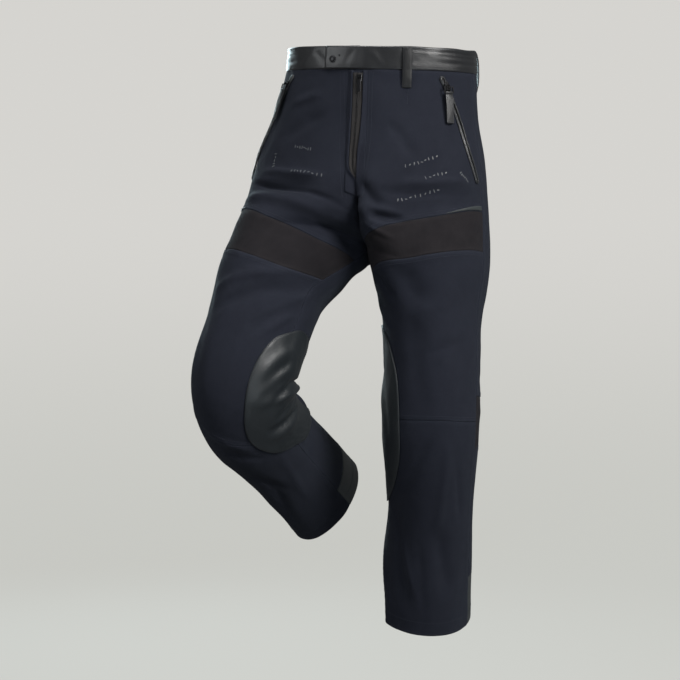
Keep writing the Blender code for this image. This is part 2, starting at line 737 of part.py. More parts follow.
def add_eye(name, hang, extra):
    """An eye round the slider's pin, joined to the pieces that hang from it."""
    pin, out, down, across = hang
    half = across * EYE["width"] / 2
    body = place_rod(name, pin - half, pin + half, EYE["outer"], MATERIALS["metal"], 12)
    for piece in extra:
        combine(body, piece, "UNION")
    hole = place_rod("hole", pin - across * 0.004, pin + across * 0.004, EYE["inner"], MATERIALS["metal"], 12)
    combine(body, hole, "DIFFERENCE")
    return body


def add_fly_pull(frame, target):
    hang = hanging_frame(frame, target)
    middle = (0, EYE["outer"] * 0.8 + FLY_TAG["length"] / 2, 0)
    size = (FLY_TAG["width"], FLY_TAG["length"], FLY_TAG["thick"])
    tag = place_box("tag", hang, middle, size, MATERIALS["metal"], 0.0005)
    set_origin(add_eye("fly_pull", hang, [tag]), hang[0])


def add_pocket_pull(side, frame, target):
    """A wire ring on the slider's pin, with a leather strip looped through it."""
    name = SIDE_NAMES[side]
    hang = hanging_frame(frame, target)
    pin, out, down, across = hang
    metal = MATERIALS["metal"]
    top = pin + down * (EYE["outer"] + 0.0002)
    low = pin + down * (EYE["outer"] + RING["length"])
    wide = across * RING["half_width"]
    wire = RING["wire"] * 2
    at_top = (top, out, down, across)
    bars = [place_box("bar", at_top, (0, 0, 0), (2 * RING["half_width"], wire, wire), metal)]
    for way in (-1, 1):
        centre = (way * RING["half_width"], RING["length"] / 2 - 0.0001, 0)
        bars.append(place_box("bar", at_top, centre, (wire, RING["length"] + wire, wire * 1.04), metal))
    bars.append(place_rod("bar", low - wide, low + wide, RING["wire"], metal, 8))
    set_origin(add_eye(f"pocket_pull_{name}", hang, bars), pin)
    leather = MATERIALS["leather"]
    half = across * STRIP["width"] / 2
    fold = place_rod(f"pocket_pull_strip_{name}", low - half, low + half, STRIP["hole"] + 0.0013, leather, 12)
    start = STRIP["hole"] + 0.0004
    middle = (0, start + STRIP["length"] / 2, 0)
    size = (STRIP["width"], STRIP["length"], STRIP["thick"])
    tail = place_box("tail", (low, out, down, across), middle, size, leather, 0.0004)
    combine(fold, tail, "UNION")
    hole = place_rod("hole", low - across * 0.01, low + across * 0.01, STRIP["hole"], leather, 12)
    combine(fold, hole, "DIFFERENCE")
    set_origin(fold, pin)


def add_disc(name, around, drop, radius, height):
    """A round metal fitting on the waistband's tab."""
    point, out, down, across = hip_frame(RIGHT, around, BAND_HEIGHT - drop)
    out = unit(out * (1.0, 1.0, 0.0))
    base = point + out * (BAND_PROUD + TAB_LIFT + GAP)
    disc = place_rod(name, base, base + out * height, radius, MATERIALS["metal"], 24)
    rounded = bmesh.new()
    rounded.from_mesh(disc.data)
    top = [e for e in rounded.edges if all((v.co - Vector(base)).dot(Vector(out)) > height / 2 for v in e.verts)]
    bmesh.ops.bevel(rounded, geom=top, offset=height * 0.35, segments=2, affect="EDGES")
    rounded.to_mesh(disc.data)
    rounded.free()


# Pieces that lie on the panels

def add_fly():
    rows = slice(0, FLY_ROWS)
    along = np.linspace(FLY["facing_from"], FLY["facing_to"], 9)
    centre = surface(LEFT, along, 0.0) * (0.0, 1.0, 1.0)
    half = np.array((FLY["facing_half"], 0.0, 0.0))
    outline = np.concatenate([centre - half, (centre + half)[::-1]])
    forward = np.array((0.0, -1.0, 0.0))
    facing = lifted("fly_facing", front_patch(rows, FLY_COLUMNS), GAP, FACING, MATERIALS["twill"], FLY_COLUMNS)
    combine(facing, prism("cutter", outline, forward, 0.05), "INTERSECT")
    along = np.linspace(FLY["facing_from"] + 0.012, FLY["zip_to"], 9)
    centre = surface(LEFT, along, 0.0) * (0.0, 1.0, 1.0) + (FLY["zip_aside"], 0.0, 0.0)
    half = np.array((FLY["zip_half"], 0.0, 0.0))
    outline = np.concatenate([centre - half, (centre + half)[::-1]])
    lift = 2 * GAP + FACING
    tape = lifted("fly_zip", front_patch(rows, FLY_COLUMNS), lift, ZIP_TAPE, MATERIALS["zip"], FLY_COLUMNS)
    combine(tape, prism("cutter", outline, forward, 0.05), "INTERSECT")
    height = FLY_SLIDER["along"] * HIP_SPAN
    point, out, down, across = hip_frame(LEFT, FLY_SLIDER["around"], -height)
    point = point + out * (3 * GAP + FACING + ZIP_TAPE)
    across = np.array((1.0, 0.0, 0.0))
    down = unit(down - across * (down @ across))
    frame = (point, np.cross(down, across), down, across)
    if frame[1][1] > 0:
        frame = (point, -frame[1], down, -across)
    add_slider("fly_slider", frame, frame)
    add_fly_pull(frame, pin_centre(frame) + np.array((0.0, 0.0, -0.02)))


def add_pocket(side):
    name = SIDE_NAMES[side]
    along, around = np.array(POCKET_LINE["along"]), np.array(POCKET_LINE["around"])
    centres = surface(side, along, around)
    normal = middle_normal(side, along[3], around[3])
    points, normals = LATTICES[side]
    patch = (points[POCKET_ROWS, POCKET_COLUMNS], normals[POCKET_ROWS, POCKET_COLUMNS])
    frame_piece = lifted(f"pocket_frame_{name}", patch, GAP, WELT, MATERIALS["leather"])
    outer_line = strip_outline(centres, normal, POCKET["half"], POCKET["end"])
    slot_line = strip_outline(centres, normal, POCKET["slot_half"], 0.0)
    zip_line = strip_outline(centres, normal, POCKET["zip_half"], -0.0006)
    combine(frame_piece, prism("cutter", outer_line, normal, 0.03), "INTERSECT")
    combine(frame_piece, prism("cutter", slot_line, normal, 0.03), "DIFFERENCE")
    tape = lifted(f"pocket_zip_{name}", patch, GAP, ZIP_TAPE, MATERIALS["zip"])
    combine(tape, prism("cutter", zip_line, normal, 0.03), "INTERSECT")
    at_around = float(spline(along, around, POCKET_SLIDER_AT))
    point = surface(side, POCKET_SLIDER_AT, at_around)
    below = surface(side, POCKET_SLIDER_AT + 0.02, float(spline(along, around, POCKET_SLIDER_AT + 0.02)))
    out = middle_normal(side, POCKET_SLIDER_AT, at_around)
    down = below - point
    down = unit(down - out * (down @ out))
    frame = (point + out * (WELT + 3 * GAP), out, down, np.cross(out, down))
    target = surface(side, POCKET_SLIDER_AT + STRIP_REACH, at_around + STRIP_DRIFT[side])
    target_out = middle_normal(side, POCKET_SLIDER_AT + STRIP_REACH, at_around)
    pin = pin_centre(frame)
    across = unit(np.cross(out, target - pin))
    hang = (frame[0], out, np.cross(across, out), across)
    add_slider(f"pocket_slider_{name}", frame, hang)
    add_pocket_pull(side, hang, target + target_out * STRIP_STAND)


def add_knee_patch(side):
    table = KNEE_PATCH[side]
    along = np.array(table["along"])
    front = surface(side, along, np.array(table["front"]) % 1.0)
    back = surface(side, along, np.array(table["back"]) % 1.0)
    outline = np.concatenate([front, back[::-1]])
    middle = len(along) // 2
    normal = middle_normal(side, along[middle], (table["front"][middle] + table["back"][middle]) / 2)
    starts = row_starts()
    rows = slice(starts["rib_bottom"] + 2, starts["heel_top"] - 2)
    patch = side_patch(side, rows, -5, 5)
    piece = lifted(f"knee_patch_{SIDE_NAMES[side]}", patch, GAP, LEATHER, MATERIALS["leather"])
    combine(piece, prism("cutter", outline, normal, 0.055), "INTERSECT")


def add_side_trim(side):
    around = np.linspace(SIDE_TRIM["from"], SIDE_TRIM["to"], 7)
    seam = spline(AROUND, SEAMS[side]["rib_top"], around) - SIDE_TRIM["above"] / ALONG_SPAN
    share = np.linspace(0.06, 1.0, 7)
    low = surface(side, seam, around)
    high = surface(side, seam - share * SIDE_TRIM["height"] / ALONG_SPAN, around)
    outline = np.concatenate([low, high[::-1]])
    normal = middle_normal(side, seam[3], around[3])
    points, normals = LATTICES[side]
    starts = row_starts()
    rows = slice(starts["crotch"] - 3, starts["rib_bottom"])
    cols = slice(5, FRONT_COLUMNS + 3)
    piece = lifted(f"side_trim_{SIDE_NAMES[side]}", (points[rows, cols], normals[rows, cols]), GAP, TRIM,
                   MATERIALS["leather"])
    combine(piece, prism("cutter", outline, normal, 0.03), "INTERSECT")


def add_material(name, colour, roughness, metallic=0.0):
    material = bpy.data.materials.new(name)
    material.use_nodes = True
    shader = material.node_tree.nodes["Principled BSDF"]
    shader.inputs["Base Color"].default_value = (*colour, 1.0)
    shader.inputs["Roughness"].default_value = roughness
    shader.inputs["Metallic"].default_value = metallic
    return material


for item in list(bpy.data.objects):
    bpy.data.objects.remove(item, do_unlink=True)

MATERIALS = {
    "twill": add_material("twill", (0.018, 0.021, 0.030), 0.80),
    "rib": add_material("stretch_rib", (0.022, 0.018, 0.017), 0.85),
    "leather": add_material("leather", (0.010, 0.011, 0.012), 0.38),
    "zip": add_material("zip_tape", (0.016, 0.013, 0.012), 0.70),
    "metal": add_material("black_metal", (0.020, 0.020, 0.022), 0.30, 0.9),
}
PANEL_MATERIALS = {"thigh_rib": "rib", "knee_back_rib": "rib", "heel_guard": "leather"}
LATTICES = {side: lattice(side) for side in (LEFT, RIGHT)}

for half in (LEFT, RIGHT):
    for panel_name in PANELS:
        add_panel(half, panel_name, MATERIALS[PANEL_MATERIALS.get(panel_name, "twill")])
    add_pocket(half)
    add_knee_patch(half)
    add_side_trim(half)
add_waistband(MATERIALS["leather"])
for loop_name, (half, place) in LOOP_PLACES.items():
    add_belt_loop(loop_name, half, place, MATERIALS["leather"])
add_fly()
add_disc("waist_stud", STUD["around"], STUD["drop"], STUD["radius"], STUD["height"])
add_disc("waist_rivet", RIVET["around"], RIVET["drop"], RIVET["radius"], RIVET["height"])

for item in bpy.data.objects:
    item.data.shade_smooth()
    item.data.set_sharp_from_angle(angle=math.radians(38))
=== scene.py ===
# Motorcycle trousers, worn and hollow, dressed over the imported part: cloth, leather, zips and stitching.
# Metres throughout. The front faces -Y, the wearer's left is +X, the waistband's middle is the origin.

import math

import bmesh
import bpy
import numpy as np
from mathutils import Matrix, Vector


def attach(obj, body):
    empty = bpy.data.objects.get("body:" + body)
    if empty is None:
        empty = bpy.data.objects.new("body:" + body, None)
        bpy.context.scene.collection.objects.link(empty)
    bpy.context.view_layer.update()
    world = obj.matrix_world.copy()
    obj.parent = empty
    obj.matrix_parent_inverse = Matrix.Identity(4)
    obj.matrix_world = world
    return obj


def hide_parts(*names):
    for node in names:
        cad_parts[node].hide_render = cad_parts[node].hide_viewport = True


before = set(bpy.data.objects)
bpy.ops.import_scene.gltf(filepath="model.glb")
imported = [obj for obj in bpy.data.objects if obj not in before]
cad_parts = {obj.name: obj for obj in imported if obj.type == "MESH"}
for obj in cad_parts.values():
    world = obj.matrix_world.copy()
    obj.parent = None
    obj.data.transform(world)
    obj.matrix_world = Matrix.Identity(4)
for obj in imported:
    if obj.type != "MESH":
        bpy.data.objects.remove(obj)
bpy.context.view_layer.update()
left, right = 1, -1
sideNames = {left: "left", right: "right"}
bpy.ops.object.select_all(action="DESELECT")
print("frame loaded:", len(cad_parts), "nodes")

# Camera: a long lens, level with the thighs, a little to the wearer's left

viewpoint = {"turn": 18.0, "distance": 2.6, "aside": -0.0705, "height": -0.480, "lens": 80.0}


def addCamera():
    turn = math.radians(viewpoint["turn"])
    ahead = Vector((-math.sin(turn), math.cos(turn), 0.0))
    rightwards = Vector((math.cos(turn), math.sin(turn), 0.0))
    place = rightwards * viewpoint["aside"] - ahead * viewpoint["distance"]
    place.z = viewpoint["height"]
    bpy.ops.object.camera_add(location=place, rotation=(math.radians(90), 0.0, turn))
    camera = bpy.context.object
    camera.name = "studioCamera"
    camera.data.lens = viewpoint["lens"]
    camera.data.sensor_width = 36.0
    bpy.context.scene.camera = camera


addCamera()
print("camera placed")

# The garment's form: rings of the hips, the seat and fly seam, and the legs

hips = {
    "along": (0.0, 0.25, 0.5, 0.75, 1.0),
    "height": (-0.021, -0.095, -0.175, -0.260, -0.365),
    "half_width_left": (0.166, 0.167, 0.179, 0.187, 0.190),
    "half_width_right": (0.166, 0.190, 0.223, 0.240, 0.210),
    "front": (0.128, 0.134, 0.138, 0.139, 0.135),
    "back": (0.116, 0.136, 0.150, 0.148, 0.130),
}
rise = {
    "along": (0.0, 0.25, 0.5, 0.75, 0.88, 1.0),
    "front_y": (-0.128, -0.134, -0.138, -0.132, -0.112, -0.070),
    "front_z": (-0.021, -0.095, -0.175, -0.252, -0.300, -0.323),
    "back_y": (0.116, 0.141, 0.147, 0.092, 0.016, -0.070),
    "back_z": (-0.021, -0.112, -0.215, -0.301, -0.321, -0.323),
}
legLines = {
    left: {"hip": (0.082, 0.005, -0.162), "knee": (0.103, -0.034, -0.631), "hem": (0.056, 0.085, -0.958)},
    right: {"hip": (-0.100, 0.000, -0.156), "knee": (-0.190, -0.193, -0.570), "hem": (-0.136, 0.106, -0.769)},
}
kneeTurn = 0.090
reach = {"along": (0.0, 0.5, 1.0, 2.0, 3.0), "share": (-0.10, 0.10, 0.42, 1.0, 2.0)}
legRings = {
    left: {
        "along": (0.5, 1.0, 1.3, 1.6, 2.0, 2.25, 2.5, 2.75, 3.0),
        "inner": (0.088, 0.087, 0.082, 0.079, 0.083, 0.076, 0.072, 0.081, 0.086),
        "outer": (0.096, 0.100, 0.086, 0.080, 0.077, 0.074, 0.073, 0.076, 0.080),
        "front": (0.125, 0.125, 0.112, 0.098, 0.084, 0.076, 0.075, 0.080, 0.085),
        "back": (0.130, 0.114, 0.100, 0.091, 0.088, 0.086, 0.084, 0.080, 0.075),
        "turn": (0, 2, 3, 4, 5, 5, 5, 5, 5),
        "slant": (0, 0, 0, 0, 0, 0, 0, 0.002, 0.006),
    },
    right: {
        "along": (0.5, 1.0, 1.3, 1.6, 2.0, 2.25, 2.5, 2.75, 3.0),
        "inner": (0.095, 0.082, 0.082, 0.083, 0.080, 0.070, 0.061, 0.057, 0.057),
        "outer": (0.100, 0.101, 0.098, 0.087, 0.084, 0.076, 0.064, 0.058, 0.055),
        "front": (0.120, 0.104, 0.104, 0.095, 0.097, 0.093, 0.084, 0.082, 0.086),
        "back": (0.140, 0.090, 0.086, 0.082, 0.079, 0.075, 0.077, 0.086, 0.091),
        "turn": (6, 18, 25, 25, 24, 24, 21, 18, 17),
        "slant": (0, 0, 0, 0, 0, 0, 0.005, 0.010, 0.010),
    },
}
waist = {"roll": math.radians(3.6), "pitch": math.radians(6.5), "hip_span": 0.296}

# Folds: along and around of both ends, half width and height in metres. The main ones are in the solids too.
mainFolds = {
    left: (
        (0.66, 0.02, 0.78, 0.14, 0.0120, -0.0070),
        (0.76, 0.02, 0.86, 0.16, 0.0100, 0.0056),
        (1.04, 0.20, 1.30, 0.27, 0.0220, -0.0056),
        (1.75, 0.53, 1.80, 0.90, 0.0120, -0.0056),
        (1.92, 0.53, 1.94, 0.92, 0.0120, 0.0056),
        (2.14, 0.55, 2.10, 0.90, 0.0130, -0.0056),
        (0.88, 0.62, 0.98, 0.92, 0.0200, -0.0084),
        (2.35, 0.12, 2.85, 0.20, 0.0120, -0.0042),
        (2.45, 0.30, 2.80, 0.36, 0.0140, -0.0042),
    ),
    right: (
        (0.72, 0.34, 0.74, 0.12, 0.0160, -0.0084),
        (0.80, 0.36, 0.86, 0.10, 0.0140, 0.0070),
        (1.34, 0.04, 1.66, 0.27, 0.0140, -0.0056),
        (1.26, 0.06, 1.50, 0.30, 0.0120, 0.0042),
        (1.90, 0.68, 1.92, 0.98, 0.0090, -0.0056),
        (1.99, 0.62, 2.02, 0.95, 0.0090, 0.0070),
        (2.12, 0.66, 2.16, 0.98, 0.0090, -0.0056),
        (2.26, 0.62, 2.40, 0.92, 0.0110, 0.0056),
        (1.02, 0.62, 1.12, 0.94, 0.0180, -0.0070),
        (2.45, 0.16, 2.82, 0.22, 0.0130, -0.0042),
    ),
}
fineFolds = {
    left: (
        (0.765, 0.07, 0.785, 0.20, 0.0065, 0.0046),
        (0.69, 0.1, 0.67, 0.42, 0.0077, -0.0022),
        (0.63, 0.16, 0.61, 0.4, 0.0094, 0.0042),
        (0.81, 0.09, 0.8, 0.21, 0.0058, -0.0078),
        (0.84, 0.07, 0.9, 0.19, 0.0051, 0.0038),
        (0.3, 0.1, 0.52, 0.2, 0.0103, -0.0025),
        (1.12, 0.1, 1.24, 0.17, 0.0077, -0.0046),
        (1.22, 0.06, 1.42, 0.13, 0.0085, 0.0034),
        (1.3, 0.225, 1.92, 0.235, 0.0171, -0.0029),
        (1.36, 0.34, 1.86, 0.33, 0.0188, 0.0021),
        (1.5, 0.4, 1.62, 0.27, 0.0103, -0.0013),
        (1.99, 0.27, 2.34, 0.15, 0.0094, -0.0024),
        (2.04, 0.33, 2.5, 0.3, 0.0085, 0.0024),
        (2.1, 0.36, 2.44, 0.395, 0.0068, -0.0018),
        (2.5, 0.155, 2.8, 0.235, 0.0068, 0.0024),
        (2.56, 0.24, 2.9, 0.27, 0.0085, -0.0018),
        (2.66, 0.06, 2.92, 0.15, 0.0077, 0.0024),
        (2.24, 0.62, 2.62, 0.7, 0.0103, -0.0026),
        (0.32, 0.64, 0.52, 0.88, 0.0188, 0.0052),
        (0.6, 0.6, 0.74, 0.9, 0.0120, -0.0063),
        (1.2, 0.6, 1.34, 0.86, 0.0120, -0.0046),
        (1.46, 0.66, 1.62, 0.92, 0.0103, 0.0026),
    ),
    right: (
        (0.68, 0.36, 0.81, 0.05, 0.0060, -0.0046),
        (0.6, 0.3, 0.66, 0.1, 0.0103, 0.0042),
        (0.25, 0.1, 0.4, 0.24, 0.0120, -0.0029),
        (0.14, 0.12, 0.2, 0.24, 0.0085, 0.0025),
        (0.98, 0.12, 1.05, 0.03, 0.0068, -0.0042),
        (1.3, 0.98, 1.62, 1.1, 0.0085, 0.0029),
        (1.42, 0.03, 1.8, 0.14, 0.0085, -0.0026),
        (1.52, 0.02, 1.74, 0.09, 0.0060, 0.0024),
        (1.3, 0.34, 1.9, 0.3, 0.0154, -0.0026),
        (1.46, 0.22, 2.02, 0.24, 0.0171, 0.0018),
        (2.09, 0.26, 2.19, 0.12, 0.0060, 0.0029),
        (2.16, 0.24, 2.26, 0.1, 0.0060, -0.0026),
        (2.3, 0.06, 2.7, 0.1, 0.0085, 0.0024),
        (2.36, 0.2, 2.6, 0.13, 0.0103, -0.0024),
        (2.6, 0.28, 2.92, 0.24, 0.0103, 0.0021),
        (0.32, 0.64, 0.52, 0.88, 0.0188, 0.0052),
        (0.66, 0.58, 0.8, 0.88, 0.0120, -0.0063),
        (1.3, 0.58, 1.44, 0.84, 0.0111, -0.0031),
        (1.52, 0.6, 1.66, 0.88, 0.0103, 0.0029),
    ),
}
# Creases of the soft leather inside the knees, in the same columns; they cross the inseam
leatherFolds = {
    left: (
        (1.5, 0.94, 1.96, 1.06, 0.0110, 0.0025),
        (1.6, 1.02, 2.1, 1.12, 0.0110, -0.0020),
        (1.86, 0.96, 2.24, 1.05, 0.0096, 0.0020),
    ),
    right: (
        (1.72, 0.985, 1.92, 1.085, 0.0083, 0.0029),
        (1.78, 0.97, 1.97, 1.075, 0.0069, -0.0027),
        (1.83, 0.975, 1.99, 1.095, 0.0071, 0.0036),
        (1.9, 0.93, 2.02, 1.05, 0.0057, -0.0038),
        (2, 0.93, 2, 1.09, 0.0077, 0.0040),
        (2.08, 0.93, 2.11, 1.035, 0.0055, -0.0025),
        (2.22, 0.9, 2.15, 1.055, 0.0057, -0.0049),
        (2.26, 0.93, 2.19, 1.06, 0.0083, 0.0034),
    ),
}
# Metres of cloth to one step along and one turn around, to measure folds and patterns by
clothSpan = {"along": 0.35, "around": 0.50}

# Seams that run across a leg: how far down they lie at each place around it
seamPlaces = (0.0, 0.10, 0.20, 0.30, 0.46, 0.75, 1.0)
seams = {
    left: {
        "waist": (0.0,) * 7,
        "rib_top": (1.06, 0.90, 0.818, 0.785, 0.745, 0.96, 1.06),
        "rib_bottom": (1.20, 1.09, 1.015, 0.975, 0.94, 1.10, 1.20),
        "knee_back_top": (1.78, 1.75, 1.74, 1.76, 1.83, 1.83, 1.78),
        "knee": (1.94, 1.93, 1.93, 1.93, 1.95, 1.96, 1.94),
        "knee_back_bottom": (2.10, 2.10, 2.10, 2.10, 2.09, 2.09, 2.10),
        "heel_top": (2.84, 2.76, 2.74, 2.73, 2.75, 2.77, 2.84),
        "hem": (3.0,) * 7,
    },
    right: {
        "waist": (0.0,) * 7,
        "rib_top": (1.10, 1.07, 0.985, 0.91, 0.85, 0.97, 1.10),
        "rib_bottom": (1.235, 1.262, 1.24, 1.185, 1.10, 1.15, 1.235),
        "knee_back_top": (1.95, 1.95, 1.92, 1.89, 1.85, 1.83, 1.95),
        "knee": (2.21, 2.18, 2.13, 2.09, 2.03, 1.98, 2.21),
        "knee_back_bottom": (2.36, 2.33, 2.28, 2.24, 2.19, 2.14, 2.36),
        "heel_top": (2.85, 2.79, 2.76, 2.75, 2.75, 2.77, 2.85),
        "hem": (3.0,) * 7,
    },
}
sideSeam = 0.46


def spline(xs, ys, at):
    # a smooth curve through two table columns
    xs, ys = np.asarray(xs, float), np.asarray(ys, float)
    at = np.clip(at, xs[0], xs[-1])
    slope = np.gradient(ys, xs)
    k = np.clip(np.searchsorted(xs, at, side="right") - 1, 0, len(xs) - 2)
    width = xs[k + 1] - xs[k]
    u = (at - xs[k]) / width
    swing = 3 * u**2 - 2 * u**3
    lead, trail = (u**3 - 2 * u**2 + u) * width, (u**3 - u**2) * width
    return ys[k] * (1 - swing) + ys[k + 1] * swing + slope[k] * lead + slope[k + 1] * trail


def ease(low, high, at):
    u = np.clip((at - low) / (high - low), 0.0, 1.0)
    return u * u * (3 - 2 * u)


def bell(distance, width):
    return np.exp(-((distance / width) ** 2))


def unit(v):
    return v / np.maximum(np.linalg.norm(v, axis=-1, keepdims=True), 1e-9)


def legLine(side, along):
    line = {k: np.array(v) for k, v in legLines[side].items()}
    thigh, shin = line["knee"] - line["hip"], line["hem"] - line["knee"]
    thighLength, shinLength = np.linalg.norm(thigh), np.linalg.norm(shin)
    thigh, shin = thigh / thighLength, shin / shinLength
    share = spline(reach["along"], reach["share"], along)
    d = np.where(share < 1, (share - 1) * thighLength, (share - 1) * shinLength)
    u = np.clip((d + kneeTurn) / (2 * kneeTurn), 0, 1)[..., None]
    start, end = line["knee"] - thigh * kneeTurn, line["knee"] + shin * kneeTurn
    centre = start * (1 - u) ** 2 + line["knee"] * 2 * u * (1 - u) + end * u**2
    before, after = np.minimum(d + kneeTurn, 0)[..., None], np.maximum(d - kneeTurn, 0)[..., None]
    return centre + thigh * before + shin * after, unit(thigh * (1 - u) + shin * u)


def legRing(side, along, around):
    # around is 0 at the inseam, 0.25 in front, 0.5 outside and 0.75 behind
    rings = legRings[side]
    at = {name: spline(rings["along"], rings[name], along) for name in rings if name != "along"}
    centre, direction = legLine(side, along)
    inward = np.array((-side, 0.0, 0.0))
    inward = unit(inward - direction * (direction @ inward)[..., None])
    forward = np.cross(inward, direction) * side
    turn = np.radians(at["turn"])[..., None]
    inward, forward = (
        inward * np.cos(turn) + forward * np.sin(turn),
        forward * np.cos(turn) - inward * np.sin(turn),
    )
    across, deep = np.cos(2 * np.pi * around), np.sin(2 * np.pi * around)
    reachAcross = np.where(across > 0, at["inner"], at["outer"])
    reachDeep = np.where(deep > 0, at["front"], at["back"])
    point = centre + inward * (across * reachAcross)[..., None] + forward * (deep * reachDeep)[..., None]
    return point - direction * (at["slant"] * (across + deep) / 2)[..., None]


def hipRing(side, along, around):
    at = {name: spline(hips["along"], hips[name], along) for name in hips if name != "along"}
    x = side * at["half_width_" + sideNames[side]] * np.sin(np.pi * around)
    deep = -np.cos(np.pi * around)
    return np.stack([x, deep * np.where(deep < 0, at["front"], at["back"]), at["height"]], -1)


def riseEnd(which, along):
    y, z = (spline(rise["along"], rise[which + axis], along) for axis in ("_y", "_z"))
    return np.stack([0 * along, y, z], -1)


def plainCloth(side, along, around):
    # the outside of the cloth before any fold
    along, around = np.broadcast_arrays(np.asarray(along, float), np.asarray(around, float))

    def blend(along, around):
        share = ease(0.30, 1.0, along)[..., None]
        return hipRing(side, along, around) * (1 - share) + legRing(side, along, around) * share

    above = np.minimum(along, 1.0)
    frontMiss = riseEnd("front", along) - blend(above, np.zeros_like(around))
    backMiss = riseEnd("back", along) - blend(above, np.ones_like(around))
    fade = 1 - ease(1.0, 1.35, along)
    nearFront = (fade * (1 - ease(0.0, 0.26, around)))[..., None]
    nearBack = (fade * ease(0.68, 1.0, around))[..., None]
    point = blend(along, around) + frontMiss * nearFront + backMiss * nearBack
    tilt = np.tan(waist["pitch"]) * point[..., 1] - np.tan(waist["roll"]) * point[..., 0]
    point[..., 2] = point[..., 2] + tilt * (1 - ease(0.1, 0.75, along))
    point[..., 0] = side * np.maximum(side * point[..., 0], 0.002 * ease(1.0, 1.1, along))
    return point


def creaseHeight(rows, x, y):
    # troughs and ridges along straight lines between two places, fading out at both ends
    total = np.zeros(np.broadcast(x, y).shape)
    for x0, y0, x1, y1, halfWidth, height in rows:
        length = math.hypot(x1 - x0, y1 - y0)
        acrossX, acrossY = (x1 - x0) / length, (y1 - y0) / length
        ahead = ((x - x0) * acrossX + (y - y0) * acrossY) / length
        aside = ((y - y0) * acrossX - (x - x0) * acrossY) / halfWidth
        taper = ease(-0.12, 0.3, ahead) * (1 - ease(0.7, 1.12, ahead))
        total = total + height * taper * bell(aside, 1.0)
    return total


def foldHeight(table, along, around):
    scale = (clothSpan["along"], clothSpan["around"]) * 2 + (1.0, 1.0)
    rows = [tuple(v * s for v, s in zip(row, scale)) for row in table]
    x = along * clothSpan["along"]
    total = creaseHeight(rows, x, around * clothSpan["around"])
    for turn in (-1, 1):
        past = creaseHeight(rows, x, (around + turn) * clothSpan["around"])
        total = total + np.where(along > 1.0, past, 0.0)
    return total


def softNoise(x, y, seed):
    # smooth random heights from -1 to 1, one bump to each unit square
    x, y = np.broadcast_arrays(np.asarray(x, float), np.asarray(y, float))
    i, j = np.floor(x), np.floor(y)
    u, v = x - i, y - j
    u, v = u * u * (3 - 2 * u), v * v * (3 - 2 * v)

    def corner(a, b):
        h = np.sin((i + a) * 127.1 + (j + b) * 311.7 + seed * 74.7) * 43758.5453
        return (h - np.floor(h)) * 2 - 1

    top = corner(0, 0) * (1 - u) + corner(1, 0) * u
    return top * (1 - v) + (corner(0, 1) * (1 - u) + corner(1, 1) * u) * v


# Small unevenness of worn twill: size in metres along and around, height, turned a little across the grain
unevenness = (
    {"long": 0.085, "wide": 0.050, "height": 0.00110, "shear": 0.35, "seed": 3},
    {"long": 0.042, "wide": 0.024, "height": 0.00055, "shear": -0.45, "seed": 11},
    {"long": 0.016, "wide": 0.011, "height": 0.00018, "shear": 0.20, "seed": 23},
)


def clothNoise(side, along, around):
    x, y = along * clothSpan["along"], around * clothSpan["around"]
    total = 0.0
    for wave in unevenness:
        far = (x + y * wave["shear"]) / wave["long"]
        aside = (y - x * wave["shear"] * 0.4) / wave["wide"]
        total = total + wave["height"] * softNoise(far, aside, wave["seed"] + side)
    return total


def clothOut(side, along, around, step=0.004):
    # the outward direction before folds
    down = plainCloth(side, along + step, around) - plainCloth(side, along - step, around)
    across = plainCloth(side, along, around + step) - plainCloth(side, along, around - step)
    out = np.cross(down, across) * side
    level = np.where(np.asarray(along) < 1.0, ease(0.0, 0.012, around) * ease(0.0, 0.012, 1 - around), 1.0)
    out[..., 0] = out[..., 0] * level
    return unit(out)


def cloth(side, along, around, lift=0.0, fine=True):
    # the outside of the cloth with its folds, raised by lift
    along, around = np.broadcast_arrays(np.asarray(along, float), np.asarray(around, float))
    out = clothOut(side, along, around)
    calm = np.where(along < 1.06, ease(0.0, 0.05, around) * (1 - ease(0.95, 1.0, around)), 1.0)
    height = foldHeight(mainFolds[side], along, around) * calm
    if fine:
        seamCalm = ease(0.0, 0.03, around) * (1 - ease(0.97, 1.0, around)) * ease(0.0, 0.08, along)
        height = height + foldHeight(fineFolds[side], along, around) * calm * ease(0.0, 0.08, along)
        height = height + clothNoise(side, along, around) * seamCalm
        height = height + foldHeight(leatherFolds[side], along, around)
    point = plainCloth(side, along, around) + out * (height + lift)[..., None]
    point[..., 0] = side * np.maximum(side * point[..., 0], 0.002 * ease(1.0, 1.1, along))
    return point


def seamLine(side, name, around):
    return spline(seamPlaces, seams[side][name], around)


# Shared mesh helpers

def spreadSteps(length, cell, near):
    # stations from 0 to 1, close together by both edges
    near = np.array(near)
    if length < 2 * near[-1] + 2 * cell:
        return np.linspace(0.0, 1.0, max(4, int(length / (cell * 0.6))))
    middle = np.linspace(near[-1], length - near[-1], max(3, int((length - 2 * near[-1]) / cell) + 1))
    return np.concatenate([near[:-1], middle, (length - near[:-1])[::-1]]) / length


def lengths(points, axis):
    # distance run along a lattice
    steps = np.linalg.norm(np.diff(points, axis=axis), axis=-1)
    pad = [(0, 0), (0, 0)]
    pad[axis] = (1, 0)
    return np.cumsum(np.pad(steps, pad), axis=axis)


def latticeOut(points, side):
    down, across = np.gradient(points, axis=0), np.gradient(points, axis=1)
    return unit(np.cross(down, across)) * side


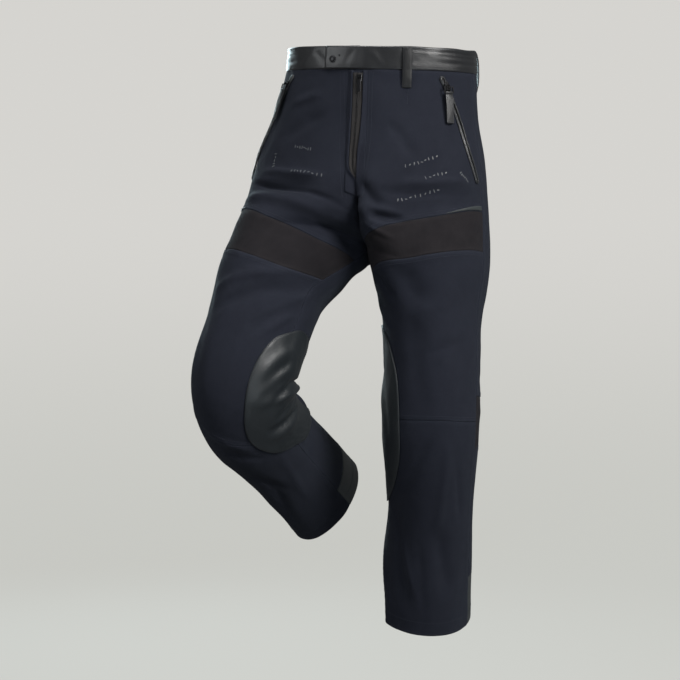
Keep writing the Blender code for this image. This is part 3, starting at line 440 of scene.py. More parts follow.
def newPiece(name, points, faces, smooth=True, uv=None, edge=None):
    # a mesh object with its faces turned outwards; uv and edge are values for each point
    mesh = bpy.data.meshes.new(name)
    rows = faces if isinstance(faces, list) else faces.tolist()
    mesh.from_pydata(points.reshape(-1, 3).tolist(), [], rows)
    if uv is not None:
        flat = uv[faces.ravel()].astype(np.float32).ravel()
        mesh.uv_layers.new(name="cloth").data.foreach_set("uv", flat)
    if edge is not None:
        mask = edge.ravel().astype(np.float32)
        mesh.attributes.new("edge", "FLOAT", "POINT").data.foreach_set("value", mask)
    if smooth:
        mesh.shade_smooth()
    piece = bpy.data.objects.new(name, mesh)
    bpy.context.scene.collection.objects.link(piece)
    tidy = bmesh.new()
    tidy.from_mesh(mesh)
    bmesh.ops.recalc_face_normals(tidy, faces=tidy.faces)
    tidy.to_mesh(mesh)
    tidy.free()
    return piece


def wallFaces(rows, cols):
    # faces of a wall whose two skins have the same rows and columns of points
    count = rows * cols
    index = np.arange(count).reshape(rows, cols)
    a, b, c, d = index[:-1, :-1], index[:-1, 1:], index[1:, 1:], index[1:, :-1]
    front = np.stack([a, d, c, b], -1).reshape(-1, 4)
    rim = np.concatenate([index[0, :-1], index[:-1, -1], index[-1, :0:-1], index[:0:-1, 0]])
    after = np.roll(rim, -1)
    sides = np.stack([rim, after, after + count, rim + count], -1)
    return np.concatenate([front, front[:, ::-1] + count, sides])


def wallMesh(name, outer, inner, uv, edge=None):
    # a closed wall between two lattices of points, with metric UVs and an edge mask
    mask = np.zeros((2,) + outer.shape[:2])
    if edge is not None:
        mask[0] = edge
    points, flat = np.stack([outer, inner]), np.concatenate([uv.reshape(-1, 2)] * 2)
    return newPiece(name, points, wallFaces(*outer.shape[:2]), uv=flat, edge=mask)


def fromEdges(across, down):
    # how far each point of a lattice is from the closest edge
    return np.minimum(np.minimum(across, across[:, -1:] - across), np.minimum(down, down[-1] - down))


def dress(piece, material, slot, node=None, body="garment"):
    piece.data.materials.clear()
    piece.data.materials.append(material)
    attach(piece, body)
    if node:
        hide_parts(*([node] if isinstance(node, str) else node))
    return piece


# The least width and length taken for a cut
narrowest = 0.0102


def declareCloth(outer):
    # flat width and length of the cut, measured on the smooth lattice and not kept
    width = max(float(lengths(outer, 1)[:, -1].max()), narrowest)
    length = max(float(lengths(outer, 0)[-1].max()), narrowest)


# Finishes

finish = {
    "twill": {"colour": (0.0118, 0.0136, 0.0225), "worn": (0.0225, 0.0255, 0.0385), "rough": 0.80},
    "rib": {"colour": (0.0142, 0.0126, 0.0150), "worn": (0.0260, 0.0225, 0.0250), "rough": 0.84},
    "leather": {"colour": (0.0080, 0.0085, 0.0100), "worn": (0.022, 0.023, 0.026), "rough": 0.38},
    "loopLeather": {"colour": (0.0062, 0.0066, 0.0078), "worn": (0.016, 0.017, 0.019), "rough": 0.50},
    "kneeLeather": {"colour": (0.0105, 0.0145, 0.0175), "worn": (0.025, 0.029, 0.033), "rough": 0.46},
    # heel guards and side trims: black leather coloured a light teal grey, a painted teal sheen
    "heelLeatherPaintedSheen": {"colour": (0.0260, 0.0330, 0.0350), "worn": (0.050, 0.056, 0.058), "rough": 0.44},
    "zipTape": {"colour": (0.0210, 0.0190, 0.0190), "worn": (0.038, 0.034, 0.033), "rough": 0.66},
    "metal": {"colour": (0.018, 0.018, 0.020), "worn": (0.16, 0.16, 0.165), "rough": 0.28},
    # gloss: a glossy print coloured light grey, painted glints
    "gloss": {"colour": (0.070, 0.078, 0.084), "worn": (0.20, 0.21, 0.22), "rough": 0.30},
    "thread": {"colour": (0.020, 0.025, 0.038), "worn": (0.040, 0.048, 0.066), "rough": 0.55},
    "leatherThread": {"colour": (0.012, 0.013, 0.015), "worn": (0.040, 0.048, 0.066), "rough": 0.55},
}


def newGroup(name, inputs, outputs):
    group = bpy.data.node_groups.new(name, "ShaderNodeTree")
    for label, kind, value in inputs:
        socket = group.interface.new_socket(name=label, in_out="INPUT", socket_type=kind)
        if value is not None:
            socket.default_value = value
    for label, kind in outputs:
        group.interface.new_socket(name=label, in_out="OUTPUT", socket_type=kind)
    return group, group.nodes.new("NodeGroupInput"), group.nodes.new("NodeGroupOutput")


def mathNode(tree, operation, a, b=None, c=None):
    node = tree.nodes.new("ShaderNodeMath")
    node.operation = operation
    for k, value in enumerate((a, b, c)):
        if value is None:
            continue
        if isinstance(value, (int, float)):
            node.inputs[k].default_value = value
        else:
            tree.links.new(value, node.inputs[k])
    return node.outputs[0]


def noiseNode(tree, vector, scale, detail=3.0, rough=0.55):
    node = tree.nodes.new("ShaderNodeTexNoise")
    node.inputs["Scale"].default_value = scale
    node.inputs["Detail"].default_value = detail
    node.inputs["Roughness"].default_value = rough
    tree.links.new(vector, node.inputs["Vector"])
    return node.outputs["Fac"]


def waveNode(tree, vector, period, direction="X", distortion=0.0):
    # bands with the given period in the vector's own unit
    node = tree.nodes.new("ShaderNodeTexWave")
    node.wave_type = "BANDS"
    node.bands_direction = direction
    node.inputs["Scale"].default_value = 0.3142 / period
    node.inputs["Distortion"].default_value = distortion
    node.inputs["Detail"].default_value = 1.0
    tree.links.new(vector, node.inputs["Vector"])
    return node.outputs["Fac"]


def turned(tree, vector, angle, scale):
    node = tree.nodes.new("ShaderNodeMapping")
    node.inputs["Rotation"].default_value = (0.0, 0.0, math.radians(angle))
    node.inputs["Scale"].default_value = (scale, scale, scale)
    tree.links.new(vector, node.inputs["Vector"])
    return node.outputs["Vector"]


def mixed(tree, factor, a, b):
    # between two numbers or two colours
    node = tree.nodes.new("ShaderNodeMix")
    node.data_type, first, result = ("RGBA", 6, 2) if isinstance(b, tuple) else ("FLOAT", 2, 0)
    tree.links.new(factor, node.inputs[0])
    for socket, value in ((node.inputs[first], a), (node.inputs[first + 1], b)):
        if isinstance(value, bpy.types.NodeSocket):
            tree.links.new(value, socket)
        else:
            socket.default_value = (*value, 1.0) if isinstance(value, tuple) else value
    return node.outputs[result]


def product(tree, *values):
    total = values[0]
    for value in values[1:]:
        total = mathNode(tree, "MULTIPLY", total, value)
    return total


def patternGroup(name, setting, value, third):
    # a group with a place and one setting, that puts out a height, a fading and one more value
    return newGroup(
        name,
        (("Place", "NodeSocketVector", None), (setting, "NodeSocketFloat", value)),
        (("Height", "NodeSocketFloat"), ("Fading", "NodeSocketFloat"), (third, "NodeSocketFloat")),
    )


def putOut(group, outside, *values):
    for socket, value in zip(outside.inputs, values):
        group.links.new(value, socket)
    return group


def weaveGroup():
    # twill: steep diagonal lines of yarn, slubs and faint fading
    group, inside, outside = patternGroup("twillWeave", "Line", 0.9, "Yarn")
    place = inside.outputs["Place"]
    line = waveNode(group, turned(group, place, 62, 1000.0), 0.85, "X", 0.6)
    cross = waveNode(group, turned(group, place, -28, 1000.0), 0.62, "X", 0.4)
    slub = noiseNode(group, turned(group, place, 90, 700.0), 1.0, 2.0)
    weft = product(group, line, mathNode(group, "ADD", product(group, cross, 0.35), 0.65))
    weft = product(group, weft, inside.outputs["Line"])
    height = mathNode(group, "ADD", weft, product(group, slub, 0.5))
    cloudy = noiseNode(group, place, 11.0, 4.0, 0.6)
    patchy = noiseNode(group, place, 46.0, 3.0, 0.6)
    flecks = noiseNode(group, turned(group, place, 8, 1.0), 230.0, 2.0, 0.7)
    fading = mathNode(group, "ADD", product(group, cloudy, 0.40), product(group, patchy, 0.30))
    fading = mathNode(group, "ADD", fading, product(group, flecks, 0.30))
    return putOut(group, outside, height, fading, slub)


def ribGroup():
    # fine ribs across the leg, knitted, with a slight waver
    group, inside, outside = patternGroup("knitRib", "Fullness", 0.6, "Yarn")
    place = turned(group, inside.outputs["Place"], 0, 1000.0)
    rib = waveNode(group, place, 1.7, "Y", 0.3)
    stitch = waveNode(group, place, 1.1, "X", 0.8)
    full = mathNode(group, "POWER", rib, inside.outputs["Fullness"])
    height = mathNode(group, "ADD", full, product(group, stitch, 0.22))
    fading = noiseNode(group, inside.outputs["Place"], 30.0, 3.0, 0.6)
    return putOut(group, outside, height, fading, rib)


def grainGroup():
    # leather: pebbled grain with fine cracks and slow changes of polish
    group, inside, outside = patternGroup("leatherGrain", "Grain", 1.0, "Pore")
    place = turned(group, inside.outputs["Place"], 17, 1000.0)
    pebble = group.nodes.new("ShaderNodeTexVoronoi")
    pebble.feature = "SMOOTH_F1"
    pebble.inputs["Scale"].default_value = 0.85
    pebble.inputs["Smoothness"].default_value = 0.35
    group.links.new(place, pebble.inputs["Vector"])
    crack = group.nodes.new("ShaderNodeTexVoronoi")
    crack.feature = "DISTANCE_TO_EDGE"
    crack.inputs["Scale"].default_value = 0.28
    group.links.new(place, crack.inputs["Vector"])
    line = mathNode(group, "MINIMUM", product(group, crack.outputs["Distance"], 6.0), 1.0)
    bump = mathNode(group, "SUBTRACT", 1.0, pebble.outputs["Distance"])
    height = mathNode(group, "ADD", product(group, bump, 0.6), product(group, line, 0.4))
    polish = noiseNode(group, inside.outputs["Place"], 24.0, 4.0, 0.6)
    return putOut(group, outside, product(group, height, inside.outputs["Grain"]), polish, bump)


def wearGroup():
    # rubbed edges: the piece's edge mask, broken up by noise
    group, inside, outside = newGroup(
        "edgeWear",
        (("Edge", "NodeSocketFloat", 0.0), ("Place", "NodeSocketVector", None),
         ("Amount", "NodeSocketFloat", 0.5)),
        (("Mask", "NodeSocketFloat"),),
    )
    broken = noiseNode(group, inside.outputs["Place"], 160.0, 4.0, 0.65)
    rubbed = product(group, inside.outputs["Edge"], product(group, broken, 1.6), inside.outputs["Amount"])
    return putOut(group, outside, mathNode(group, "MINIMUM", rubbed, 1.0))


groups = {"weave": weaveGroup(), "rib": ribGroup(), "grain": grainGroup(), "wear": wearGroup()}


def surfaceMaterial(name, finishName, pattern, depth, place="UV", wear=0.6, fade=0.5, sheen=0.0,
                    coat=0.0, metallic=0.0, roughSpan=0.10, shine=0.5):
    look = finish[finishName]
    material = bpy.data.materials.new(name)
    material.use_nodes = True
    tree = material.node_tree
    shader = tree.nodes["Principled BSDF"]
    where = tree.nodes.new("ShaderNodeTexCoord").outputs[place]
    body = tree.nodes.new("ShaderNodeGroup")
    body.node_tree = groups[pattern]
    tree.links.new(where, body.inputs["Place"])
    edge = tree.nodes.new("ShaderNodeAttribute")
    edge.attribute_name = "edge"
    rub = tree.nodes.new("ShaderNodeGroup")
    rub.node_tree = groups["wear"]
    rub.inputs["Amount"].default_value = wear
    tree.links.new(edge.outputs["Fac"], rub.inputs["Edge"])
    tree.links.new(where, rub.inputs["Place"])
    light = tuple(c + (w - c) * fade for c, w in zip(look["colour"], look["worn"]))
    faded = mixed(tree, body.outputs["Fading"], tuple(c * 0.82 for c in look["colour"]), light)
    tree.links.new(mixed(tree, rub.outputs["Mask"], faded, look["worn"]), shader.inputs["Base Color"])
    low, high = look["rough"] - roughSpan, look["rough"] + roughSpan
    tree.links.new(mixed(tree, body.outputs["Fading"], high, low), shader.inputs["Roughness"])
    bump = tree.nodes.new("ShaderNodeBump")
    bump.inputs["Strength"].default_value = 1.0
    bump.inputs["Distance"].default_value = depth
    tree.links.new(body.outputs["Height"], bump.inputs["Height"])
    tree.links.new(bump.outputs["Normal"], shader.inputs["Normal"])
    shader.inputs["Metallic"].default_value = metallic
    shader.inputs["Specular IOR Level"].default_value = shine
    if sheen:
        shader.inputs["Sheen Weight"].default_value = sheen
        shader.inputs["Sheen Roughness"].default_value = 0.45
        shader.inputs["Sheen Tint"].default_value = (0.62, 0.74, 0.86, 1.0)
    if coat:
        shader.inputs["Coat Weight"].default_value = coat
        shader.inputs["Coat Roughness"].default_value = 0.22
    return material


materials = {
    "twill": surfaceMaterial("navyTwill", "twill", "weave", 0.00030, sheen=0.03, fade=1.0, shine=0.16),
    "rib": surfaceMaterial("brownRib", "rib", "rib", 0.00055, sheen=0.03, fade=0.8, shine=0.16),
    "leather": surfaceMaterial("blackLeather", "leather", "grain", 0.00014, coat=0.22, fade=0.8,
                               roughSpan=0.07, wear=0.8, shine=0.6),
    "loopLeather": surfaceMaterial("loopLeather", "loopLeather", "grain", 0.00014, fade=0.6, wear=0.7,
                                   shine=0.35),
    "kneeLeather": surfaceMaterial("kneeLeather", "kneeLeather", "grain", 0.00020, coat=0.05, fade=0.7,
                                   roughSpan=0.08, wear=0.5),
    "heelLeatherPaintedSheen": surfaceMaterial("heelLeatherPaintedSheen", "heelLeatherPaintedSheen", "grain", 0.00020, coat=0.05, fade=0.7,
                                   roughSpan=0.08),
    "zipTape": surfaceMaterial("zipTape", "zipTape", "weave", 0.00020, shine=0.3),
    "metal": surfaceMaterial("blackMetal", "metal", "grain", 0.00002, place="Object", metallic=0.9,
                             fade=0.15, roughSpan=0.06, wear=0.5),
    "gloss": surfaceMaterial("glossPrintPaintedGlint", "gloss", "grain", 0.00003, place="Object", fade=0.9, wear=0.0),
    "thread": surfaceMaterial("navyThread", "thread", "weave", 0.00006, place="Object", fade=0.6, shine=0.3),
    "leatherThread": surfaceMaterial("blackThread", "leatherThread", "weave", 0.00006, place="Object",
                                     fade=0.4, shine=0.3),
}
print("finishes made:", len(materials))

# Panels: each a wall of cloth between two seams that run across, in front or behind

panelWall = {
    "thick": 0.0020,
    "cell": {"front": 0.0030, "back": 0.0038},
    "near": (0.0, 0.0006, 0.0013, 0.0022, 0.0034, 0.0052, 0.0076, 0.0100),
}
# Which edges carry the turned seam with its rows of stitching
panels = {
    "front": {"top": "waist", "bottom": "rib_top", "place": "front", "felled": ("bottom",)},
    "seat": {"top": "waist", "bottom": "knee_back_top", "place": "back", "felled": ("bottom", "first")},
    "thigh_rib": {"top": "rib_top", "bottom": "rib_bottom", "place": "front", "look": "rib"},
    "thigh_front": {"top": "rib_bottom", "bottom": "knee", "place": "front", "felled": ("top", "bottom")},
    "shin": {"top": "knee", "bottom": "hem", "place": "front", "felled": ("last",)},
    "knee_back_rib": {"top": "knee_back_top", "bottom": "knee_back_bottom", "place": "back", "look": "rib"},
    "calf": {"top": "knee_back_bottom", "bottom": "heel_top", "place": "back", "felled": ("top", "first")},
    "heel_guard": {"top": "heel_top", "bottom": "hem", "place": "back", "look": "heelLeatherPaintedSheen"},
}
slots = {"twill": "twill", "rib": "stretch_rib", "heelLeatherPaintedSheen": "leather"}
seamShape = {"roll": 0.0006, "roll_width": 0.0009, "ridge": 0.00045, "ridge_end": 0.0088,
             "rows": (0.0018, 0.0075), "row_dip": 0.00022, "row_width": 0.0007, "pucker": 0.00030}


def seamProfile(distance, felled, place, seed):
    # height of the cloth beside one edge: rolled into the seam, and raised under the rows of a felled seam
    height = -seamShape["roll"] * bell(distance, seamShape["roll_width"])
    pucker = softNoise(place / 0.011, distance / 0.03, seed) * seamShape["pucker"]
    height = height + pucker * bell(distance, 0.010) * (1 - bell(distance, 0.0015))
    if felled:
        end = seamShape["ridge_end"]
        ridge = ease(0.0, 0.0020, distance) * (1 - ease(end, end + 0.0022, distance))
        height = height + seamShape["ridge"] * ridge
        for row in seamShape["rows"]:
            height = height - seamShape["row_dip"] * bell(distance - row, seamShape["row_width"])
    return height


def panelPoints(side, name):
    panel = panels[name]
    first, last = (0.0, sideSeam) if panel["place"] == "front" else (sideSeam, 1.0)
    trial = np.linspace(first, last, 25)
    top, bottom = seamLine(side, panel["top"], trial), seamLine(side, panel["bottom"], trial)
    grid = plainCloth(side, top + (bottom - top) * np.linspace(0, 1, 25)[:, None], trial)
    tall, wide = lengths(grid, 0)[-1].max(), lengths(grid, 1)[:, -1].max()
    s, t = (spreadSteps(span, panelWall["cell"][panel["place"]], panelWall["near"]) for span in (wide, tall))
    around = first + (last - first) * s
    top, bottom = seamLine(side, panel["top"], around), seamLine(side, panel["bottom"], around)
    return top + (bottom - top) * t[:, None], np.broadcast_to(around, (len(t), len(around)))


def addPanel(side, name):
    panel = panels[name]
    look = panel.get("look", "twill")
    along, around = panelPoints(side, name)
    base = cloth(side, along, around)
    out = latticeOut(base, side)
    smooth = clothOut(side, along, around)
    nearCentre = 1 - ease(0.0, 0.02, around) * ease(0.0, 0.02, 1 - around)
    nearCentre = np.where(along < 1.02, nearCentre, 0.0)[..., None]
    out = unit(out * (1 - nearCentre) + smooth * nearCentre)
    down, across = lengths(base, 0), lengths(base, 1)
    edges = {"top": down, "bottom": down[-1] - down, "first": across, "last": across[:, -1:] - across}
    height = np.zeros(along.shape)
    for seed, (edge, distance) in enumerate(edges.items()):
        if edge == "bottom" and panel["bottom"] == "hem":
            height = height - 0.0006 * bell(distance, 0.0009)
            continue
        place = around * clothSpan["around"] if edge in ("top", "bottom") else along * clothSpan["along"]
        height = height + seamProfile(distance, edge in panel.get("felled", ()), place, seed * 7 + side)
    outer = base + out * height[..., None]
    inner = base - out * panelWall["thick"]
    inner[..., 0] = side * np.maximum(side * inner[..., 0], 0.0)
    mask = bell(fromEdges(across, down) - 0.0030, 0.0030)
    uv = np.stack([across + side * 0.3, 3.0 - down], -1)
    piece = wallMesh(f"cloth_{name}_{sideNames[side]}", outer, inner, uv, mask)
    dress(piece, materials[look], slots[look], f"{name}_{sideNames[side]}")
    declareCloth(base)
    return len(piece.data.polygons)


total = 0
for side in (left, right):
    for name in panels:
        total += addPanel(side, name)
print("panels sewn:", 2 * len(panels), "with", total, "faces")

# Places on the cloth beside a line, and stitches along rows of points

def walkLine(side, line):
    marks = np.arange(len(line["along"]))
    share = np.linspace(0, marks[-1], 121)
    along, around = spline(marks, line["along"], share), spline(marks, line["around"], share)
    steps = np.linalg.norm(np.diff(plainCloth(side, along, around), axis=0), axis=-1)
    return along, around, np.concatenate([[0.0], np.cumsum(steps)])


def lineLength(side, line):
    return float(walkLine(side, line)[2][-1])


def besideLine(side, line, run, aside):
    # metres run along a line and metres to its side, towards the back on a line that runs down
    alongs, arounds, reached = walkLine(side, line)
    run, aside = np.broadcast_arrays(np.asarray(run, float), np.asarray(aside, float))

    def read(values, at):
        before = (values[1] - values[0]) / (reached[1] - reached[0])
        after = (values[-1] - values[-2]) / (reached[-1] - reached[-2])
        past = np.minimum(at, 0) * before + np.maximum(at - reached[-1], 0) * after
        return np.interp(at, reached, values) + past

    along, around = read(alongs, run), read(arounds, run)
    pace, step = 0.0015, 0.004
    alongPace = (read(alongs, run + pace) - read(alongs, run - pace)) / (2 * pace)
    aroundPace = (read(arounds, run + pace) - read(arounds, run - pace)) / (2 * pace)
    a = (plainCloth(side, along + step, around) - plainCloth(side, along - step, around)) / (2 * step)
    b = (plainCloth(side, along, around + step) - plainCloth(side, along, around - step)) / (2 * step)
    beside = unit(np.cross(np.cross(a, b), a * alongPace[..., None] + b * aroundPace[..., None]))
    aa, ab, bb = (a * a).sum(-1), (a * b).sum(-1), (b * b).sum(-1)
    wa, wb = (beside * a).sum(-1), (beside * b).sum(-1)
    spread = aa * bb - ab * ab
    return along + (wa * bb - wb * ab) / spread * aside, around + (wb * aa - wa * ab) / spread * aside


def wrapped(around):
    return np.where(around < 0, around + 1, around)


threadShape = {
    "pitch": 0.0034,
    "share": 0.80,
    "radius": 0.00028,
    "sides": 6,
    "stations": ((0.0, 0.35, -0.00012), (0.5, 1.0, 0.00022), (1.0, 0.35, -0.00012)),
}


def addStitches(name, rows, material, slot, body="garment"):
    # short tapered threads; each row is its points and the outward directions there
    starts, ends, outs = [], [], []
    for points, out in rows:
        reached = np.concatenate([[0.0], np.cumsum(np.linalg.norm(np.diff(points, axis=0), axis=-1))])
        count = max(int(reached[-1] / threadShape["pitch"]), 1)
        pitch = reached[-1] / count
        at = (np.arange(count) + 0.5 * (1 - threadShape["share"])) * pitch
        until = at + pitch * threadShape["share"]
        for store, values, place in ((starts, points, at), (ends, points, until), (outs, out, at)):
            store.append(np.stack([np.interp(place, reached, values[:, k]) for k in range(3)], -1))
    start, end, out = (np.concatenate(v) for v in (starts, ends, outs))
    line = end - start
    aside = unit(np.cross(line, out))
    out = unit(np.cross(aside, line))
    sides, rings = threadShape["sides"], []
    for share, radius, rise in threadShape["stations"]:
        centre = start + line * share + out * rise
        for k in range(sides):
            turn = 2 * math.pi * k / sides
            spoke = aside * math.cos(turn) + out * math.sin(turn)
            rings.append(centre + spoke * radius * threadShape["radius"])
    faces = [tuple(range(sides - 1, -1, -1)), tuple(range(2 * sides, 3 * sides))]
    for j in range(2):
        for k in range(sides):
            after = (k + 1) % sides
            faces.append((j * sides + k, j * sides + after, (j + 1) * sides + after, (j + 1) * sides + k))
    return scatterMesh(name, np.stack(rings, 1), faces, material, slot, body)


def scatterMesh(name, points, faces, material, slot, body="garment", smooth=True):
    # many copies of one small shape merged in one mesh
    count, size = points.shape[:2]
    every = [tuple(k + n * size for k in face) for n in range(count) for face in faces]
    return dress(newPiece(name, points, every, smooth), material, slot, None, body)


def clothRow(side, along, around, lift):
    around = wrapped(around)
    return cloth(side, along, around, lift=lift), clothOut(side, along, around)


# Stitching beside the seams: both rows of a felled seam, unless a row of its own is given.
# Cross seams: way is 1 above and -1 below. Long seams: way is 1 behind and -1 in front.

crossRows = (
    {"seam": "rib_top", "way": 1, "span": (0.02, 0.455)},
    {"seam": "rib_bottom", "way": -1, "span": (0.01, 0.455)},
    {"seam": "knee", "way": 1, "span": (0.01, 0.455)},
    {"seam": "knee_back_top", "way": 1, "span": (0.465, 0.985)},
    {"seam": "knee_back_bottom", "way": -1, "span": (0.465, 0.985)},
    {"seam": "heel_top", "way": -1, "span": (0.465, 0.99), "single": 0.0020},
    {"seam": "hem", "way": 1, "span": (0.005, 0.995), "single": 0.0120},
)
longRows = (
    {"around": 0.46, "way": 1, "from": "waist", "to": "knee_back_top"},
    {"around": 0.46, "way": 1, "from": "knee_back_bottom", "to": "heel_top"},
    {"around": 0.46, "way": -1, "from": "rib_bottom", "to": "knee", "single": 0.0018},
    {"around": 0.46, "way": -1, "from": "knee", "to": "hem"},
    {"around": 0.0, "way": 1, "from": "rib_bottom", "to": "knee", "single": 0.0018},
    {"around": 0.0, "way": 1, "from": "knee", "to": "hem", "single": 0.0018},
)


def seamRows(side, line, row, crosses):
    # the rows of one seam, on the cloth as it stands beside that seam
    length = lineLength(side, line)
    felled = "single" not in row
    edge = (0 if crosses else 2) + ((row["way"] > 0) == crosses)
    for offset in seamShape["rows"] if felled else (row["single"],):
        run = np.linspace(0.003, length - 0.003, int(length / 0.002))
        along, around = besideLine(side, line, run, row["way"] * offset)
        place = around * clothSpan["around"] if crosses else along * clothSpan["along"]
        height = seamProfile(offset, felled, place, edge * 7 + side)
        out = clothOut(side, along, around)
        yield cloth(side, along, around) + out * (height + 0.00012)[..., None], out


def addSeamStitches(side):
    rows, leatherRows = [], []
    for row in crossRows:
        around = np.linspace(*row["span"], 13)
        line = {"along": seamLine(side, row["seam"], around), "around": around}
        store = leatherRows if row["seam"] == "heel_top" else rows
        store.extend(seamRows(side, line, row, True))
    for row in longRows:
        start, end = (float(seamLine(side, row[k], row["around"])) for k in ("from", "to"))
        along = np.linspace(start + 0.012, end - 0.004, 25)
        line = {"along": along, "around": np.full(25, row["around"])}
        rows.extend(seamRows(side, line, row, False))
    for line in clothRows[side]:
        length = lineLength(side, line)
        run = np.linspace(0, length, int(length / 0.002) + 2)
        rows.append(clothRow(side, *besideLine(side, line, run, 0.0), 0.0001))
    addStitches(f"stitches_{sideNames[side]}", rows, materials["thread"], "twill")
    addStitches(f"heel_stitches_{sideNames[side]}", leatherRows, materials["leatherThread"], "leather")


# Other rows: the fly's curved rows, the crotch seam, the seat seam and the dart under the front loop
clothRows = {
    left: (
        {"along": (0.012, 0.20, 0.40, 0.60, 0.74), "around": (0.036, 0.034, 0.033, 0.034, 0.036)},
        {"along": (0.012, 0.20, 0.40, 0.60, 0.74), "around": (0.047, 0.045, 0.044, 0.045, 0.047)},
        {"along": (0.76, 0.86, 0.96, 1.03), "around": (0.010, 0.010, 0.010, 0.011)},
        {"along": (0.105, 0.15, 0.196), "around": (0.161, 0.159, 0.158)},
        {"along": (0.30, 0.60, 0.90, 1.02), "around": (0.988, 0.988, 0.988, 0.988)},
        {"along": (0.30, 0.60, 0.90, 1.02), "around": (0.974, 0.974, 0.974, 0.974)},
    ),
    right: (
        {"along": (0.012, 0.12, 0.24, 0.35, 0.50, 0.62, 0.70, 0.766),
         "around": (0.062, 0.057, 0.051, 0.048, 0.047, 0.049, 0.051, 0.052)},
        {"along": (0.012, 0.12, 0.24, 0.35, 0.50, 0.62, 0.70, 0.766),
         "around": (0.049, 0.044, 0.038, 0.035, 0.034, 0.036, 0.038, 0.040)},
        {"along": (0.78, 0.86, 0.96, 1.03), "around": (0.010, 0.010, 0.010, 0.011)},
    ),
}

for side in (left, right):
    addSeamStitches(side)
print("seams stitched")

# The waistband: two pieces of leather that meet behind, the left one with a tab over the right one

band = {"low": 0.0003, "high": 0.0380, "proud": 0.0012, "taper": 0.35, "thick": 0.0030, "tab_end": 0.119,
        "tab_lift": 0.0033, "around": 0.45, "cell": 0.0030}
# Creases across the band in metres around and above the waist seam: two ends, half width, height
bandFolds = {
    left: (
        (0.115, 0.0305, 0.255, 0.0285, 0.0019, -0.0014),
        (0.120, 0.0240, 0.262, 0.0215, 0.0020, -0.0010),
        (0.130, 0.0135, 0.270, 0.0120, 0.0026, -0.0012),
        (0.060, 0.0330, 0.110, 0.0310, 0.0018, -0.0006),
        (0.018, 0.0300, 0.034, 0.0060, 0.0040, 0.0008),
        (0.080, 0.0090, 0.098, 0.0280, 0.0050, -0.0006),
        (-0.020, 0.0050, -0.008, 0.0340, 0.0040, -0.0006),
        (0.300, 0.0280, 0.380, 0.0240, 0.0025, -0.0010),
        (0.330, 0.0140, 0.420, 0.0170, 0.0028, -0.0008),
    ),
    right: (
        (0.120, 0.0310, 0.262, 0.0300, 0.0020, -0.0015),
        (0.125, 0.0245, 0.250, 0.0230, 0.0020, -0.0011),
        (0.110, 0.0140, 0.225, 0.0125, 0.0026, -0.0010),
        (0.072, 0.0340, 0.105, 0.0050, 0.0050, 0.0007),
        (0.055, 0.0120, 0.075, 0.0300, 0.0045, -0.0007),
        (0.290, 0.0270, 0.370, 0.0250, 0.0025, -0.0010),
        (0.320, 0.0150, 0.410, 0.0130, 0.0028, -0.0008),
    ),
}


def hipPoint(side, around, height, fine=True):
    # a point of the waistband above the waist seam, or of the cloth below it; around may pass either centre
    around, height = np.broadcast_arrays(np.asarray(around, float), np.asarray(height, float))
    drop = np.maximum(-height, 0.0) / waist["hip_span"]
    folded = np.where(around > 1, 2 - around, np.abs(around))
    own = ((around >= 0) & (around <= 1))[..., None]
    base = np.where(own, cloth(side, drop, folded, fine=fine), cloth(-side, drop, folded, fine=fine))
    up = unit(np.array((math.tan(waist["roll"]), -math.tan(waist["pitch"]), 1.0)))
    return base + (up - base * (1.0, 1.0, 0.0) * band["taper"]) * np.maximum(height, 0.0)[..., None]


def hipFrame(side, around, height, fine=True, step=0.012):
    # point, outward, downward and sideways directions; sideways is towards the back
    point = hipPoint(side, around, height, fine)
    across = hipPoint(side, around + step, height, fine) - hipPoint(side, around - step, height, fine)
    down = unit(hipPoint(side, around, height - step, fine) - hipPoint(side, around, height + step, fine))
    out = unit(np.cross(down, unit(across)) * side)
    return point, out, down, np.cross(out, down)


def bandSurface(side, around, height):
    # outside of the waistband and the direction away from the body
    place = around * band["around"]
    wave = 0.0009 * softNoise(place / 0.037, 0.0, 5 + side) * ease(0.020, band["high"], height)
    point, out = hipFrame(side, around, height + wave, False)[:2]
    out = unit(out * (1.0, 1.0, 0.0))
    fromEdge = np.minimum(height - band["low"], band["high"] - height)
    lift = band["proud"] - 0.0012 * bell(fromEdge, 0.0011)
    lift = lift - 0.0003 * bell(fromEdge - 0.0030, 0.0008)
    lift = lift + creaseHeight(bandFolds[side], place, height)
    lift = lift + 0.0005 * softNoise(place / 0.019, height / 0.012, 31)
    if side == left:
        lift = lift + band["tab_lift"] * (1 - ease(0.01, 0.075, around))
        tabEnd = np.maximum(around + band["tab_end"], 0) * band["around"]
        lift = lift - 0.0012 * bell(tabEnd, 0.0011) + 0.0005 * bell(tabEnd - 0.004, 0.002)
    return point + out * lift[..., None], out, point


